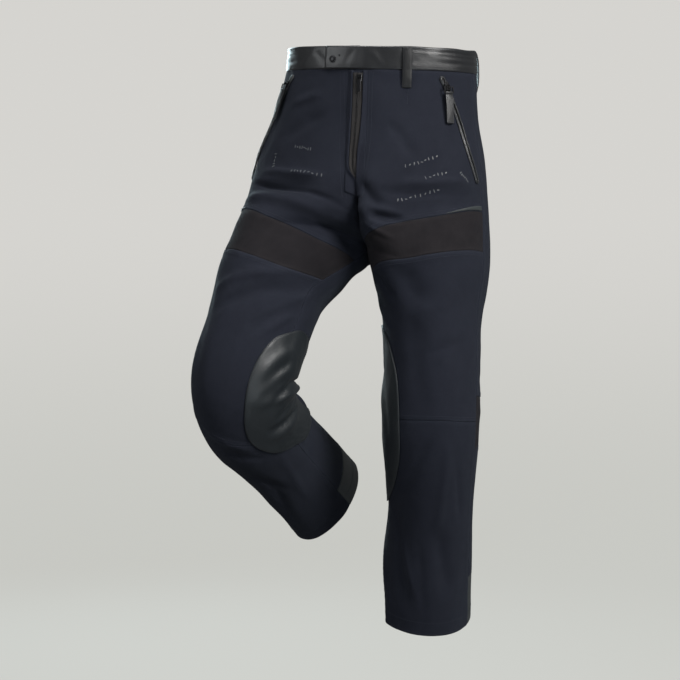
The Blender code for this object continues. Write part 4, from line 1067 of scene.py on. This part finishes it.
def addWaistband(side):
    first = -band["tab_end"] if side == left else 0.0004
    steps = spreadSteps((0.9996 - first) * band["around"], band["cell"], panelWall["near"])
    around = first + (0.9996 - first) * steps
    tall = band["high"] - band["low"]
    height = band["low"] + tall * (1 - spreadSteps(tall, 0.0020, panelWall["near"][:6]))
    height, around = height[:, None] + 0 * around, around + 0 * height[:, None]
    outer, out, point = bandSurface(side, around, height)
    lift = band["tab_lift"] * (1 - ease(0.01, 0.075, around)) if side == left else 0.0 * around
    inner = point + out * (band["proud"] + lift - band["thick"])[..., None]
    fromEdge = np.minimum(height - band["low"], band["high"] - height)
    uv = np.stack([lengths(outer, 1), 1.0 - lengths(outer, 0)], -1)
    piece = wallMesh(f"band_{sideNames[side]}", outer, inner, uv, bell(fromEdge, 0.0022))
    dress(piece, materials["leather"], "leather", f"waistband_{sideNames[side]}")
    declareCloth(outer)
    rows = []
    run = np.linspace(first + 0.006, 0.996, 240)
    for level in (band["low"] + 0.0030, band["high"] - 0.0030):
        points, out = bandSurface(side, run, np.full(run.shape, level))[:2]
        rows.append((points, out))
    if side == left:
        level = np.linspace(band["low"] + 0.003, band["high"] - 0.003, 24)
        rows.append(bandSurface(side, np.full(24, first + 0.0065), level)[:2])
    addStitches(f"band_stitches_{sideNames[side]}", rows, materials["leatherThread"], "leather")


for side in (left, right):
    addWaistband(side)
print("waistband sewn")

# Belt loops: straps that stand away from the band, stitched down both edges and tacked at their ends

loop = {
    "width": 0.0150,
    "thick": 0.0022,
    "height": (-0.0300, -0.0250, -0.0180, -0.0080, 0.0030, 0.0150, 0.0260, 0.0330, 0.0365),
    "stand": (0.0006, 0.0014, 0.0030, 0.0040, 0.0044, 0.0044, 0.0036, 0.0022, 0.0017),
    "places": {
        "front_left": (left, 0.155),
        "back_left": (left, 0.61),
        "back_right": (right, 0.61),
        "back_centre": (left, 1.0),
    },
    "row": 0.0058,
    "tacks": (-0.0262, -0.0250, 0.0318, 0.0330),
}


def loopSurface(side, around, height, aside):
    before, after = (hipPoint(side, around + step, 0.0, False) for step in (-0.01, 0.01))
    span = np.linalg.norm(after - before) / 0.02
    point, out = hipFrame(side, around + aside / span, height, False)[:2]
    stand = spline(loop["height"], loop["stand"], height)
    fromEnd = np.minimum(height - loop["height"][0], loop["height"][-1] - height)
    fromEdge = np.minimum(loop["width"] / 2 - np.abs(aside), fromEnd)
    shape = -0.0009 * bell(fromEdge, 0.0009) - 0.00025 * bell(fromEdge - 0.0017, 0.0006)
    shape = shape + 0.0003 * softNoise(height / 0.011, aside / 0.007, 9)
    return point + out * (stand + loop["thick"] + shape)[..., None], point + out * stand[..., None], out


def addLoop(name, side, around):
    low, high = loop["height"][0], loop["height"][-1]
    height = low + (high - low) * (1 - spreadSteps(high - low, 0.0016, (0.0, 0.0005, 0.0011, 0.0018, 0.0026)))
    height = height[:, None]
    aside = loop["width"] * (spreadSteps(loop["width"], 0.0012, (0.0, 0.0004, 0.0009, 0.0015, 0.0022)) - 0.5)
    height, aside = np.broadcast_arrays(height, aside)
    outer, inner = loopSurface(side, around, height, aside)[:2]
    fromEdge = np.minimum(loop["width"] / 2 - np.abs(aside), height - low)
    uv = np.stack([lengths(outer, 1), lengths(outer, 0)], -1)
    piece = wallMesh("loop_" + name, outer, inner, uv, bell(fromEdge, 0.0018))
    dress(piece, materials["loopLeather"], "leather", "belt_loop_" + name)
    declareCloth(outer)
    places = [(np.linspace(-0.0275, 0.0345, 40), np.full(40, way * loop["row"])) for way in (-1, 1)]
    places += [(np.full(12, level), np.linspace(-0.0055, 0.0055, 12)) for level in loop["tacks"]]
    return [loopSurface(side, around, *place)[::2] for place in places]


rows = []
for name, (side, around) in loop["places"].items():
    rows += addLoop(name, side, around)
addStitches("loop_stitches", rows, materials["leatherThread"], "leather")
print("belt loops sewn:", len(loop["places"]))

# The fly: a twill facing whose two edges stand up beside the zip, the zip's tape and its teeth

fly = {
    "from": 0.010,
    "to": 0.735,
    "borders": (-0.0185, 0.0150),
    "along": (0.0, 0.21, 0.40, 0.51, 0.56, 0.60, 0.66, 0.74),
    "right_edge": (-0.0095, -0.0096, -0.0116, -0.0129, -0.0130, -0.0104, 0.0014, 0.0014),
    "left_edge": (0.0082, 0.0072, 0.0040, 0.0004, 0.0006, 0.0012, 0.0020, 0.0020),
    "lip": 0.0030,
    "base": 0.0012,
    "tape_to": 0.640,
    "teeth_from": 0.026,
    "teeth_to": 0.615,
    "tooth": {"pitch": 0.0017, "aside": 0.00075},
}


def centreCloth(along, x):
    # points and outward directions over the front seam at a distance x from it; rows along, columns across
    trial = np.linspace(0.0, 0.11, 34)
    points, outs = np.zeros(x.shape + (3,)), np.zeros(x.shape + (3,))
    for side in (left, right):
        reach = side * cloth(side, along[:, None], trial, fine=False)[..., 0]
        reach = np.maximum.accumulate(reach, axis=1)
        around = np.stack([np.interp(np.abs(x[k]), reach[k], trial) for k in range(len(along))])
        mine = (side * x >= 0)[..., None]
        points = np.where(mine, cloth(side, along[:, None], around, fine=False), points)
        outs = np.where(mine, clothOut(side, along[:, None], around), outs)
    points[..., 0] = x
    return points, outs


def flyEdges(along):
    return (spline(fly["along"], fly[edge], along) for edge in ("right_edge", "left_edge"))


def addFly():
    rows = 110
    along = np.linspace(fly["from"], fly["to"], rows)
    low, high = flyEdges(along)
    beside = np.array((0.0, 0.0003, 0.0006, 0.0010, 0.0015, 0.0022, 0.0032, 0.0044))
    middle = np.array((0.06, 0.14, 0.3, 0.5, 0.7, 0.86, 0.94))
    low, high = low[:, None], high[:, None]
    start, end = fly["borders"]
    first, last = np.array((0.0, 0.12, 0.35, 0.7)), np.array((0.3, 0.65, 0.88, 1.0))
    columns = [start + (low - beside[-1] - start) * first, low - beside[::-1], low + (high - low) * middle]
    columns += [high + beside, high + beside[-1] + (end - high - beside[-1]) * last]
    x = np.concatenate(columns, 1)
    points, outs = centreCloth(along, x)
    outside = np.maximum(low - x, x - high)
    run = along[:, None] * waist["hip_span"]
    lip = fly["lip"] * ease(-0.0003, 0.0008, outside) * bell(np.maximum(outside - 0.0012, 0), 0.0034)
    lip = lip * (1 - 0.6 * ease(0.62, 0.72, along))[:, None]
    lip = lip * (1 + 0.16 * softNoise(run / 0.014, np.sign(x) * 2.0, 17))
    foot = ((along[-1] - along) * waist["hip_span"])[:, None]
    border = np.minimum(np.minimum(x - start, end - x), foot)
    height = fly["base"] + lip - 0.0007 * bell(border, 0.0010)
    outer = points + outs * height[..., None]
    inner = points + outs * 0.0003
    uv = np.stack([x, 3.0 - run + 0 * x], -1)
    piece = wallMesh("fly_cover", outer, inner, uv, bell(outside, 0.0012))
    dress(piece, materials["twill"], "twill", "fly_facing")
    declareCloth(outer)

    along = np.linspace(0.022, fly["tape_to"], 90)
    low, high = flyEdges(along)
    x = low[:, None] + (high - low)[:, None] * np.linspace(0.03, 0.97, 11)
    points, outs = centreCloth(along, x)
    ribs = 0.00015 * np.cos((x - (low + high)[:, None] / 2) / 0.0016 * 2 * np.pi)
    uv = np.stack([x, 3.0 - along[:, None] * waist["hip_span"] + 0 * x], -1)
    tape = wallMesh("fly_tape", points + outs * (0.0024 + ribs)[..., None], points + outs * 0.0014, uv)
    dress(tape, materials["zipTape"], "zip_tape", "fly_zip")
    declareCloth(points)

    tooth, span = fly["tooth"], waist["hip_span"]
    run = np.arange(fly["teeth_from"] * span, fly["teeth_to"] * span, tooth["pitch"]) / span
    low, high = flyEdges(run)
    x = (low + high) / 2 + tooth["aside"] * np.where(np.arange(len(run)) % 2, 1, -1)
    points, outs = centreCloth(run, x[:, None])
    points, outs = points[:, 0], outs[:, 0]
    down = unit(np.gradient(points * (0.0, 1.0, 1.0), axis=0))
    addTeeth("fly_teeth", points + outs * 0.0026, outs, down)


def toothShape():
    # one zip tooth: a small block drawn in at the top and at its tip
    bpy.ops.mesh.primitive_cube_add(size=1.0)
    block = bpy.context.object
    block.scale = (0.0024, 0.0010, 0.0011)
    bpy.ops.object.transform_apply(location=False, rotation=False, scale=True)
    bpy.ops.object.mode_set(mode="EDIT")
    bpy.ops.mesh.select_all(action="SELECT")
    bpy.ops.mesh.bevel(offset=0.00022, segments=1)
    bpy.ops.object.mode_set(mode="OBJECT")
    points = np.array([v.co[:] for v in block.data.vertices])
    faces = [tuple(f.vertices) for f in block.data.polygons]
    bpy.data.objects.remove(block, do_unlink=True)
    return points, faces


def addTeeth(name, points, outs, down):
    shape, faces = toothShape()
    across = np.cross(outs, down)
    copies = points[:, None] + across[:, None] * shape[:, :1] + down[:, None] * shape[:, 1:2]
    copies = copies + outs[:, None] * shape[:, 2:]
    scatterMesh(name, copies, faces, materials["metal"], "black_metal", smooth=False)


addFly()
print("fly sewn")

# Hip pockets: a leather welt all round the zip, the zip, and a leather strip on each pull

pocket = {
    "along": (0.045, 0.12, 0.20, 0.28, 0.365, 0.447, 0.52, 0.595),
    "around": (0.283, 0.313, 0.335, 0.354, 0.369, 0.386, 0.408, 0.430),
    "middle": 0.0034,
    # the welt's section: away from the slot, and up from the cloth
    "section": (
        (-0.0017, 0.0005), (-0.0019, 0.0014), (-0.0016, 0.0025), (-0.0009, 0.0030),
        (0.0000, 0.0028), (0.0006, 0.0022), (0.0012, 0.0019), (0.0018, 0.0016),
        (0.0021, 0.0010), (0.0020, 0.0004), (0.0008, 0.0003), (-0.0008, 0.0003),
    ),
    "tape_half": 0.0019,
    "pitch": 0.0016,
    "slider_at": 0.085,
    "strip_at": 0.215,
    "strip_drift": {left: 0.008, right: 0.020},
    "strip_stand": 0.0050,
}
puller = {
    "pin_up": 0.0080,
    "eye": 0.0021,
    "ring": 0.0090,
    "width": 0.0135,
    "length": 0.0510,
    "bend": 0.0012,
    "ply": 0.0009,
    "apart": 0.00006,
    "radius": 0.0012,
}


def addWelt(side, length):
    # the section swept once round the zip
    step = 0.0018
    straight = np.linspace(0, length, int(length / step))
    turn = np.linspace(0, np.pi, 11)[1:-1]
    path = [(s, 1.0, 0.0) for s in straight] + [(length, np.cos(t), np.sin(t)) for t in turn]
    path += [(s, -1.0, 0.0) for s in straight[::-1]] + [(0.0, -np.cos(t), -np.sin(t)) for t in turn]
    path, section = np.array(path), np.array(pocket["section"])
    away = section[:, 0]
    run = path[:, :1] + path[:, 2:3] * (pocket["middle"] + away)
    aside = path[:, 1:2] * (pocket["middle"] + away)
    along, around = besideLine(side, pocket, run, aside)
    out = clothOut(side, along, around)
    ripple = 1 + 0.10 * softNoise(run / 0.012, path[:, 1:2] * 3 + 0 * away, 41)
    points = cloth(side, along, around) + out * (section[:, 1] * ripple + 0.0002)[..., None]
    index = np.arange(points[..., 0].size).reshape(points.shape[:2])
    after, beside = np.roll(index, -1, 0), np.roll(index, -1, 1)
    faces = np.stack([index, after, np.roll(after, -1, 1), beside], -1).reshape(-1, 4)
    girths = np.concatenate([[0], np.cumsum(np.linalg.norm(np.diff(section, axis=0), axis=-1))])
    far = (np.arange(len(points)) * step)[:, None]
    uv = np.stack(np.broadcast_arrays(far, girths), -1).reshape(-1, 2)
    crest = bell(section[:, 1] - 0.0030, 0.0006) + 0 * far
    name = sideNames[side]
    welt = newPiece(f"welt_{name}", points, faces, uv=uv, edge=crest)
    dress(welt, materials["leather"], "leather", f"pocket_frame_{name}")
    girth = np.linalg.norm(section - np.roll(section, -1, 0), axis=-1).sum()


def addPocket(side):
    name = sideNames[side]
    length = lineLength(side, pocket)
    addWelt(side, length)
    run = np.linspace(-0.001, length + 0.001, 80)[:, None]
    aside = np.linspace(-pocket["tape_half"], pocket["tape_half"], 7)
    along, around = besideLine(side, pocket, run, aside)
    out = clothOut(side, along, around)
    base = cloth(side, along, around)
    uv = np.stack([aside + 0 * run, run + 0 * aside], -1)
    tape = wallMesh(f"pocket_tape_{name}", base + out * 0.0010, base + out * 0.0003, uv)
    dress(tape, materials["zipTape"], "zip_tape", f"pocket_zip_{name}")
    declareCloth(base)
    run = np.arange(0.004, length - 0.002, pocket["pitch"])
    aside = np.where(np.arange(len(run)) % 2, 0.0005, -0.0005)
    along, around = besideLine(side, pocket, run, aside)
    out = clothOut(side, along, around)
    points = cloth(side, along, around) + out * 0.0013
    middle = np.gradient(cloth(side, *besideLine(side, pocket, run, 0.0)), axis=0)
    down = unit(middle - out * (middle * out).sum(-1, keepdims=True))
    addTeeth(f"pocket_teeth_{name}", points, out, down)


def pullFrame(side):
    # where the pull's ring ends, and the outward, downward and sideways directions of the pull
    step = 0.02

    def surface(along, around):
        return cloth(side, np.array(along), np.array(around), fine=False)

    def outward(along, around):
        down = surface(along + step, around) - surface(along - step, around)
        return unit(np.cross(down, surface(along, around + step) - surface(along, around - step)) * side)

    start = pocket["slider_at"]
    around = float(spline(pocket["along"], pocket["around"], start))
    point, out = surface(start, around), outward(start, around)
    pin = point + out * puller["pin_up"]
    reached = start + pocket["strip_at"]
    target = surface(reached, around + pocket["strip_drift"][side])
    target = target + outward(reached, around) * pocket["strip_stand"]
    across = unit(np.cross(out, target - pin))
    down = target - pin
    down = unit(down - across * (down @ across))
    return pin + down * (puller["eye"] + puller["ring"]), unit(np.cross(down, across)), down, across


def stripPath():
    # distance from the ring and height, on the outside and the inside of a strip folded over the ring
    apart, ply, radius, tail = (puller[k] for k in ("apart", "ply", "radius", "length"))
    legs = []
    for d in np.concatenate([np.linspace(tail, 0.0040, 34), np.linspace(0.0034, 0.0006, 5)]):
        legs.append((d, apart + (radius - apart) * float(ease(0.0040, 0.0, d))))
    arc = [(-math.sin(t), math.cos(t)) for t in np.linspace(0, np.pi, 13)]
    paths = []
    for more in (ply, 0.0):
        bow = [(s * (radius + more), c * (radius + more)) for s, c in arc]
        first, second = [(d, h + more) for d, h in legs], [(d, -h - more) for d, h in legs[::-1]]
        paths.append(np.array(first + bow + second))
    return paths


def addStrip(side):
    name = sideNames[side]
    low, out, down, across = pullFrame(side)
    share = spreadSteps(puller["width"], 0.0014, (0.0, 0.0003, 0.0007, 0.0013, 0.0020)) - 0.5
    edge = puller["width"] / 2 - np.abs(share * puller["width"])
    rolled = -0.00035 * bell(edge, 0.0006) - 0.00018 * bell(edge - 0.0017, 0.0006)
    grids = []
    for path, shape in zip(stripPath(), (rolled, 0.0)):
        d, o = path[:, :1], path[:, 1:]
        corner = np.clip((d - (puller["length"] - 0.0035)) / 0.0035, 0, 1)
        half = puller["width"] * (1 - 0.12 * corner**2.5)
        bend = puller["bend"] * np.sin(np.pi * np.clip(d, 0, None) / puller["length"])
        lift = o + np.sign(o) * shape + bend + 0.0006 * softNoise(d / 0.018, share * 1.3, 7)
        grids.append(low + down * d[..., None] + out * lift[..., None] + across * (share * half)[..., None])
    outer, inner = grids
    uv = np.stack([lengths(outer, 1), lengths(outer, 0)], -1)
    piece = wallMesh(f"pull_strip_{name}", outer, inner, uv, bell(edge, 0.0012) + np.zeros(outer.shape[:2]))
    dress(piece, materials["leather"], "leather", f"pocket_pull_strip_{name}", f"{name}_pocket_pull")
    declareCloth(outer)
    picks = [int(np.argmin(np.abs(share + place))) for place in (0.37, -0.37)]
    rows = [outer[1:36, k] for k in picks] + [outer[2, picks[0]:picks[1] + 1]]
    rows = [(points, np.repeat(out[None], len(points), 0)) for points in rows]
    thread = materials["leatherThread"]
    addStitches(f"strip_stitches_{name}", rows, thread, "leather", f"{name}_pocket_pull")


for side in (left, right):
    addPocket(side)
    addStrip(side)
print("pockets sewn")

# Leather on the inside of each knee, and the trims beside the upper stretch panels

kneePatch = {
    left: {
        "along": (1.36, 1.42, 1.56, 1.74, 1.92, 2.10, 2.26, 2.36, 2.42),
        "front": (0.010, 0.078, 0.130, 0.156, 0.163, 0.160, 0.125, 0.080, 0.010),
        "back": (-0.010, -0.070, -0.115, -0.135, -0.140, -0.138, -0.110, -0.070, -0.010),
    },
    right: {
        "along": (1.58, 1.64, 1.74, 1.86, 2.00, 2.14, 2.26, 2.36, 2.41),
        "front": (-0.045, 0.012, 0.058, 0.092, 0.117, 0.122, 0.078, 0.008, -0.050),
        "back": (-0.075, -0.120, -0.138, -0.146, -0.150, -0.152, -0.156, -0.146, -0.110),
    },
}
patchShape = {"lift": 0.0009, "thick": 0.0019, "row": 0.0024}
sideTrim = {"from": 0.325, "to": 0.452, "height": 0.0080, "point": 0.0006, "above": 0.0015}


def patchPlace(side, turn, share):
    # turn runs from 0 at the top to pi at the bottom; share runs from the back edge to the front edge
    table = kneePatch[side]
    high, low = table["along"][0], table["along"][-1]
    knots = np.arccos(np.clip(((high + low) / 2 - np.array(table["along"])) * 2 / (low - high), -1, 1))
    along = (high + low) / 2 - (low - high) / 2 * np.cos(turn)
    back, front = spline(knots, table["back"], turn), spline(knots, table["front"], turn)
    return along + 0 * share, back + (front - back) * share


def addPatch(side):
    turn = np.linspace(0, np.pi, 96)[:, None]
    share = spreadSteps(0.130, 0.0028, panelWall["near"])
    along, around = patchPlace(side, turn, share)
    base, out = clothRow(side, along, around, patchShape["lift"])
    across, down = lengths(base, 1), lengths(base, 0)
    closest = fromEdges(across, down)
    height = patchShape["thick"] - 0.0013 * bell(closest, 0.0010)
    height = height - 0.0003 * bell(closest - patchShape["row"], 0.0008)
    height = height + 0.0003 * softNoise(down / 0.016, across / 0.010, 51) * ease(0.0, 0.006, closest)
    outer = base + out * height[..., None]
    uv = np.stack([across, -down], -1)
    piece = wallMesh(f"knee_leather_{sideNames[side]}", outer, base, uv, bell(closest, 0.0024))
    dress(piece, materials["kneeLeather"], "leather", f"knee_patch_{sideNames[side]}")
    declareCloth(base)
    ends = (0.16, np.pi - 0.16)
    inset = patchShape["row"] / float(across[48, -1])
    places = [(np.linspace(*ends, 90), np.full(90, place)) for place in (inset, 1 - inset)]
    places += [(np.full(30, end), np.linspace(0.03, 0.97, 30)) for end in ends]
    top = patchShape["lift"] + patchShape["thick"] - 0.0002
    rows = [clothRow(side, *patchPlace(side, *place), top) for place in places]
    addStitches(f"knee_stitches_{sideNames[side]}", rows, materials["leatherThread"], "leather")


def addTrim(side):
    share = np.linspace(0, 1, 60)
    around = sideTrim["from"] + (sideTrim["to"] - sideTrim["from"]) * share
    line = {"along": seamLine(side, "rib_top", around), "around": around}
    length = lineLength(side, line)
    up = np.linspace(0, 1, 9)[:, None]
    aside = sideTrim["above"] + up * (sideTrim["point"] + sideTrim["height"] * share)
    along, around = besideLine(side, line, share * length, aside)
    base, out = clothRow(side, along, around, 0.0008)
    across, down = lengths(base, 1), lengths(base, 0)
    closest = fromEdges(across, down)
    outer = base + out * (0.0012 - 0.0008 * bell(closest, 0.0007))[..., None]
    uv = np.stack([across, -down], -1)
    piece = wallMesh(f"trim_{sideNames[side]}", outer, base, uv, bell(closest, 0.0012))
    # the trims take the heel leather, whose light teal grey is a painted sheen
    dress(piece, materials["heelLeatherPaintedSheen"], "leather", f"side_trim_{sideNames[side]}")
    declareCloth(base)


for side in (left, right):
    addPatch(side)
    addTrim(side)
print("leather patches and trims sewn")

# Small ticks of glossy print in loose rows on the hips, coloured light grey as painted glints: both ends of a
# row along and around, and how many
glossRows = {
    left: (
        (0.546, 0.165, 0.477, 0.270, 9),
        (0.600, 0.232, 0.566, 0.312, 6),
        (0.560, 0.350, 0.611, 0.388, 6),
        (0.723, 0.175, 0.654, 0.295, 10),
    ),
    right: (
        (0.442, 0.188, 0.464, 0.128, 8),
        (0.470, 0.262, 0.590, 0.262, 5),
        (0.619, 0.195, 0.654, 0.100, 9),
    ),
}
# Each tick in turn: length and half width in metres, turn from the row in degrees, step aside in metres
tickShapes = (
    (0.0052, 0.0007, 78, 0.0),
    (0.0040, 0.0008, 12, 0.0006),
    (0.0056, 0.0006, 96, -0.0004),
    (0.0034, 0.0009, 40, 0.0003),
    (0.0048, 0.0007, 84, 0.0008),
    (0.0038, 0.0007, -20, -0.0008),
    (0.0050, 0.0008, 70, 0.0002),
)


def addTicks(side):
    copies = []
    for number, (along0, around0, along1, around1, count) in enumerate(glossRows[side]):
        line = {"along": np.linspace(along0, along1, 6), "around": np.linspace(around0, around1, 6)}
        length = lineLength(side, line)
        for k in range(count):
            long, half, angle, step = tickShapes[(k * 3 + number * 2) % len(tickShapes)]
            angle = math.radians(angle)
            middle = length * (k + 0.5 + 0.18 * math.sin(7 * k + number)) / count
            u = np.linspace(-long / 2, long / 2, 5)[:, None]
            v = np.array((-1, -0.4, 0.4, 1)) * half * (1 - 0.3 * np.abs(u * 2 / long) ** 3)
            run = middle + u * math.cos(angle) - v * math.sin(angle)
            aside = step + u * math.sin(angle) + v * math.cos(angle)
            place = besideLine(side, line, run, aside)
            skins = [clothRow(side, *place, lift)[0].reshape(-1, 3) for lift in (0.00034, 0.00004)]
            copies.append(np.concatenate(skins))
    name = f"gloss_ticks_{sideNames[side]}"
    scatterMesh(name, np.array(copies), wallFaces(5, 4).tolist(), materials["gloss"], "twill")


for side in (left, right):
    addTicks(side)

# Metal fittings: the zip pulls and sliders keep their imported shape, the stud and the rivet get turned caps

fittings = ("fly_slider", "fly_pull", "pocket_slider_left", "pocket_slider_right", "pocket_pull_left",
            "pocket_pull_right")
for name in fittings:
    for place in bpy.data.objects[name].material_slots:
        place.link = "OBJECT"
        place.material = materials["metal"]

caps = {
    "stud": {"node": "waist_stud", "around": 0.088, "drop": 0.0225, "radius": 0.0062, "height": 0.0016,
             "steps": ((0.0011, 0.0), (0.0004, -0.00035), (0.0004, 0.00050), (0.0013, 0.00038),
                       (0.0015, 0.00016))},
    "rivet": {"node": "waist_rivet", "around": 0.065, "drop": 0.0165, "radius": 0.0019, "height": 0.0008,
              "steps": ((0.0004, 0.00016), (0.0005, 0.00010))},
}


def addCap(name, cap):
    place = np.array(cap["around"]), np.array(band["high"] - cap["drop"])
    point, out = hipFrame(right, *place, False)[:2]
    out = unit(out * (1.0, 1.0, 0.0))
    base = Vector(point + out * (band["proud"] + band["tab_lift"] - 0.0003))
    bpy.ops.object.select_all(action="DESELECT")
    bpy.ops.mesh.primitive_cylinder_add(vertices=48, radius=cap["radius"], depth=cap["height"])
    piece = bpy.context.object
    piece.name = name + "_cap"
    bpy.ops.object.mode_set(mode="EDIT")
    bpy.ops.mesh.select_all(action="DESELECT")
    shape = bmesh.from_edit_mesh(piece.data)
    top = max(shape.faces, key=lambda f: f.calc_center_median().z)
    top.select = True
    bmesh.update_edit_mesh(piece.data)
    for thickness, lift in cap["steps"]:
        bpy.ops.mesh.inset(thickness=thickness)
        bpy.ops.transform.translate(value=(0, 0, lift))
    bpy.ops.object.mode_set(mode="OBJECT")
    step = piece.modifiers.new("rounded", "BEVEL")
    step.width, step.segments = 0.00028, 2
    step.limit_method, step.angle_limit = "ANGLE", math.radians(40)
    bpy.ops.object.modifier_apply(modifier="rounded")
    bpy.ops.object.shade_smooth_by_angle(angle=math.radians(50))
    piece.rotation_euler = Vector(out).to_track_quat("Z", "Y").to_euler()
    piece.location = base + Vector(out) * cap["height"] / 2
    bpy.ops.object.transform_apply(location=True, rotation=True, scale=True)
    dress(piece, materials["metal"], "black_metal", cap["node"])


for name, cap in caps.items():
    addCap(name, cap)
print("fittings dressed")

# Studio: a pale dish of floor and sky that glows with painted light, and soft lights

studio = {
    "floor": -1.42,
    "radius": 5.2,
    "wall": 4.4,
    "low": (0.548, 0.552, 0.520),
    "high": (0.640, 0.630, 0.604),
    # where it stands, size, watts, colour
    "lights": {
        "keyLight": ((2.55, -1.55, 1.10), 1.3, 105.0, (1.0, 0.99, 0.97)),
        "fillLight": ((-2.30, -2.60, 0.60), 2.2, 26.0, (0.95, 0.98, 1.0)),
        "topLight": ((-0.20, -0.70, 2.40), 1.4, 38.0, (1.0, 1.0, 1.0)),
        "backLight": ((-1.70, 2.30, 0.70), 1.8, 58.0, (0.74, 0.94, 1.0)),
        "lowLight": ((1.20, -1.80, -1.20), 1.2, 7.0, (0.85, 0.95, 1.0)),
    },
    "aim": (-0.02, 0.0, -0.45),
}


def addStage():
    # the dish is turned from a profile: flat in the middle, sweeping up to a wall all round
    bend = 1.8
    profile = [(0.02, 0.0), (1.5, 0.0), (3.0, 0.0)]
    for k in range(13):
        angle = math.radians(90 * k / 12)
        profile.append((studio["radius"] - bend + bend * math.sin(angle), bend - bend * math.cos(angle)))
    profile.append((studio["radius"], studio["wall"]))
    mesh = bpy.data.meshes.new("studioDish")
    count = 72
    points = []
    for r, z in profile:
        for k in range(count):
            a = 2 * math.pi * k / count
            points.append((r * math.cos(a), r * math.sin(a), z + studio["floor"]))
    faces = [tuple(range(count))]
    for i in range(len(profile) - 1):
        for k in range(count):
            a, b = i * count + k, i * count + (k + 1) % count
            faces.append((a, a + count, b + count, b))
    mesh.from_pydata(points, [], faces)
    mesh.shade_smooth()
    dish = bpy.data.objects.new("studioDish", mesh)
    bpy.context.scene.collection.objects.link(dish)
    material = bpy.data.materials.new("glowingBackdrop")
    material.use_nodes = True
    tree = material.node_tree
    shader = tree.nodes["Principled BSDF"]
    shader.inputs["Base Color"].default_value = (0.08, 0.08, 0.078, 1.0)
    shader.inputs["Roughness"].default_value = 0.95
    shader.inputs["Specular IOR Level"].default_value = 0.0
    height = tree.nodes.new("ShaderNodeSeparateXYZ")
    tree.links.new(tree.nodes.new("ShaderNodeTexCoord").outputs["Object"], height.inputs[0])
    climb = tree.nodes.new("ShaderNodeMapRange")
    climb.interpolation_type = "SMOOTHSTEP"
    climb.inputs["From Min"].default_value = studio["floor"]
    climb.inputs["From Max"].default_value = 0.2
    tree.links.new(height.outputs["Z"], climb.inputs["Value"])
    # the dish's glow is painted light, darker on the floor and brighter up the wall; it is no lamp
    glow = mixed(tree, climb.outputs["Result"], studio["low"], studio["high"])
    tree.links.new(glow, shader.inputs["Emission Color"])
    shader.inputs["Emission Strength"].default_value = 1.0
    mesh.materials.append(material)
    dish.visible_diffuse = False
    dish.visible_glossy = False


def addLights():
    for name, (at, size, watts, colour) in studio["lights"].items():
        turn = (Vector(studio["aim"]) - Vector(at)).to_track_quat("-Z", "Y").to_euler()
        bpy.ops.object.light_add(type="AREA", location=at, rotation=turn)
        lamp = bpy.context.object
        lamp.name = name
        lamp.data.shape, lamp.data.size = "DISK", size
        lamp.data.energy, lamp.data.color = watts, colour
    world = bpy.data.worlds.new("softSky")
    bpy.context.scene.world = world
    world.use_nodes = True
    sky = world.node_tree.nodes["Background"]
    sky.inputs["Color"].default_value = (0.80, 0.82, 0.82, 1.0)
    sky.inputs["Strength"].default_value = 0.16


addStage()
addLights()
bpy.context.scene.view_settings.view_transform = "Standard"
print("studio lit")
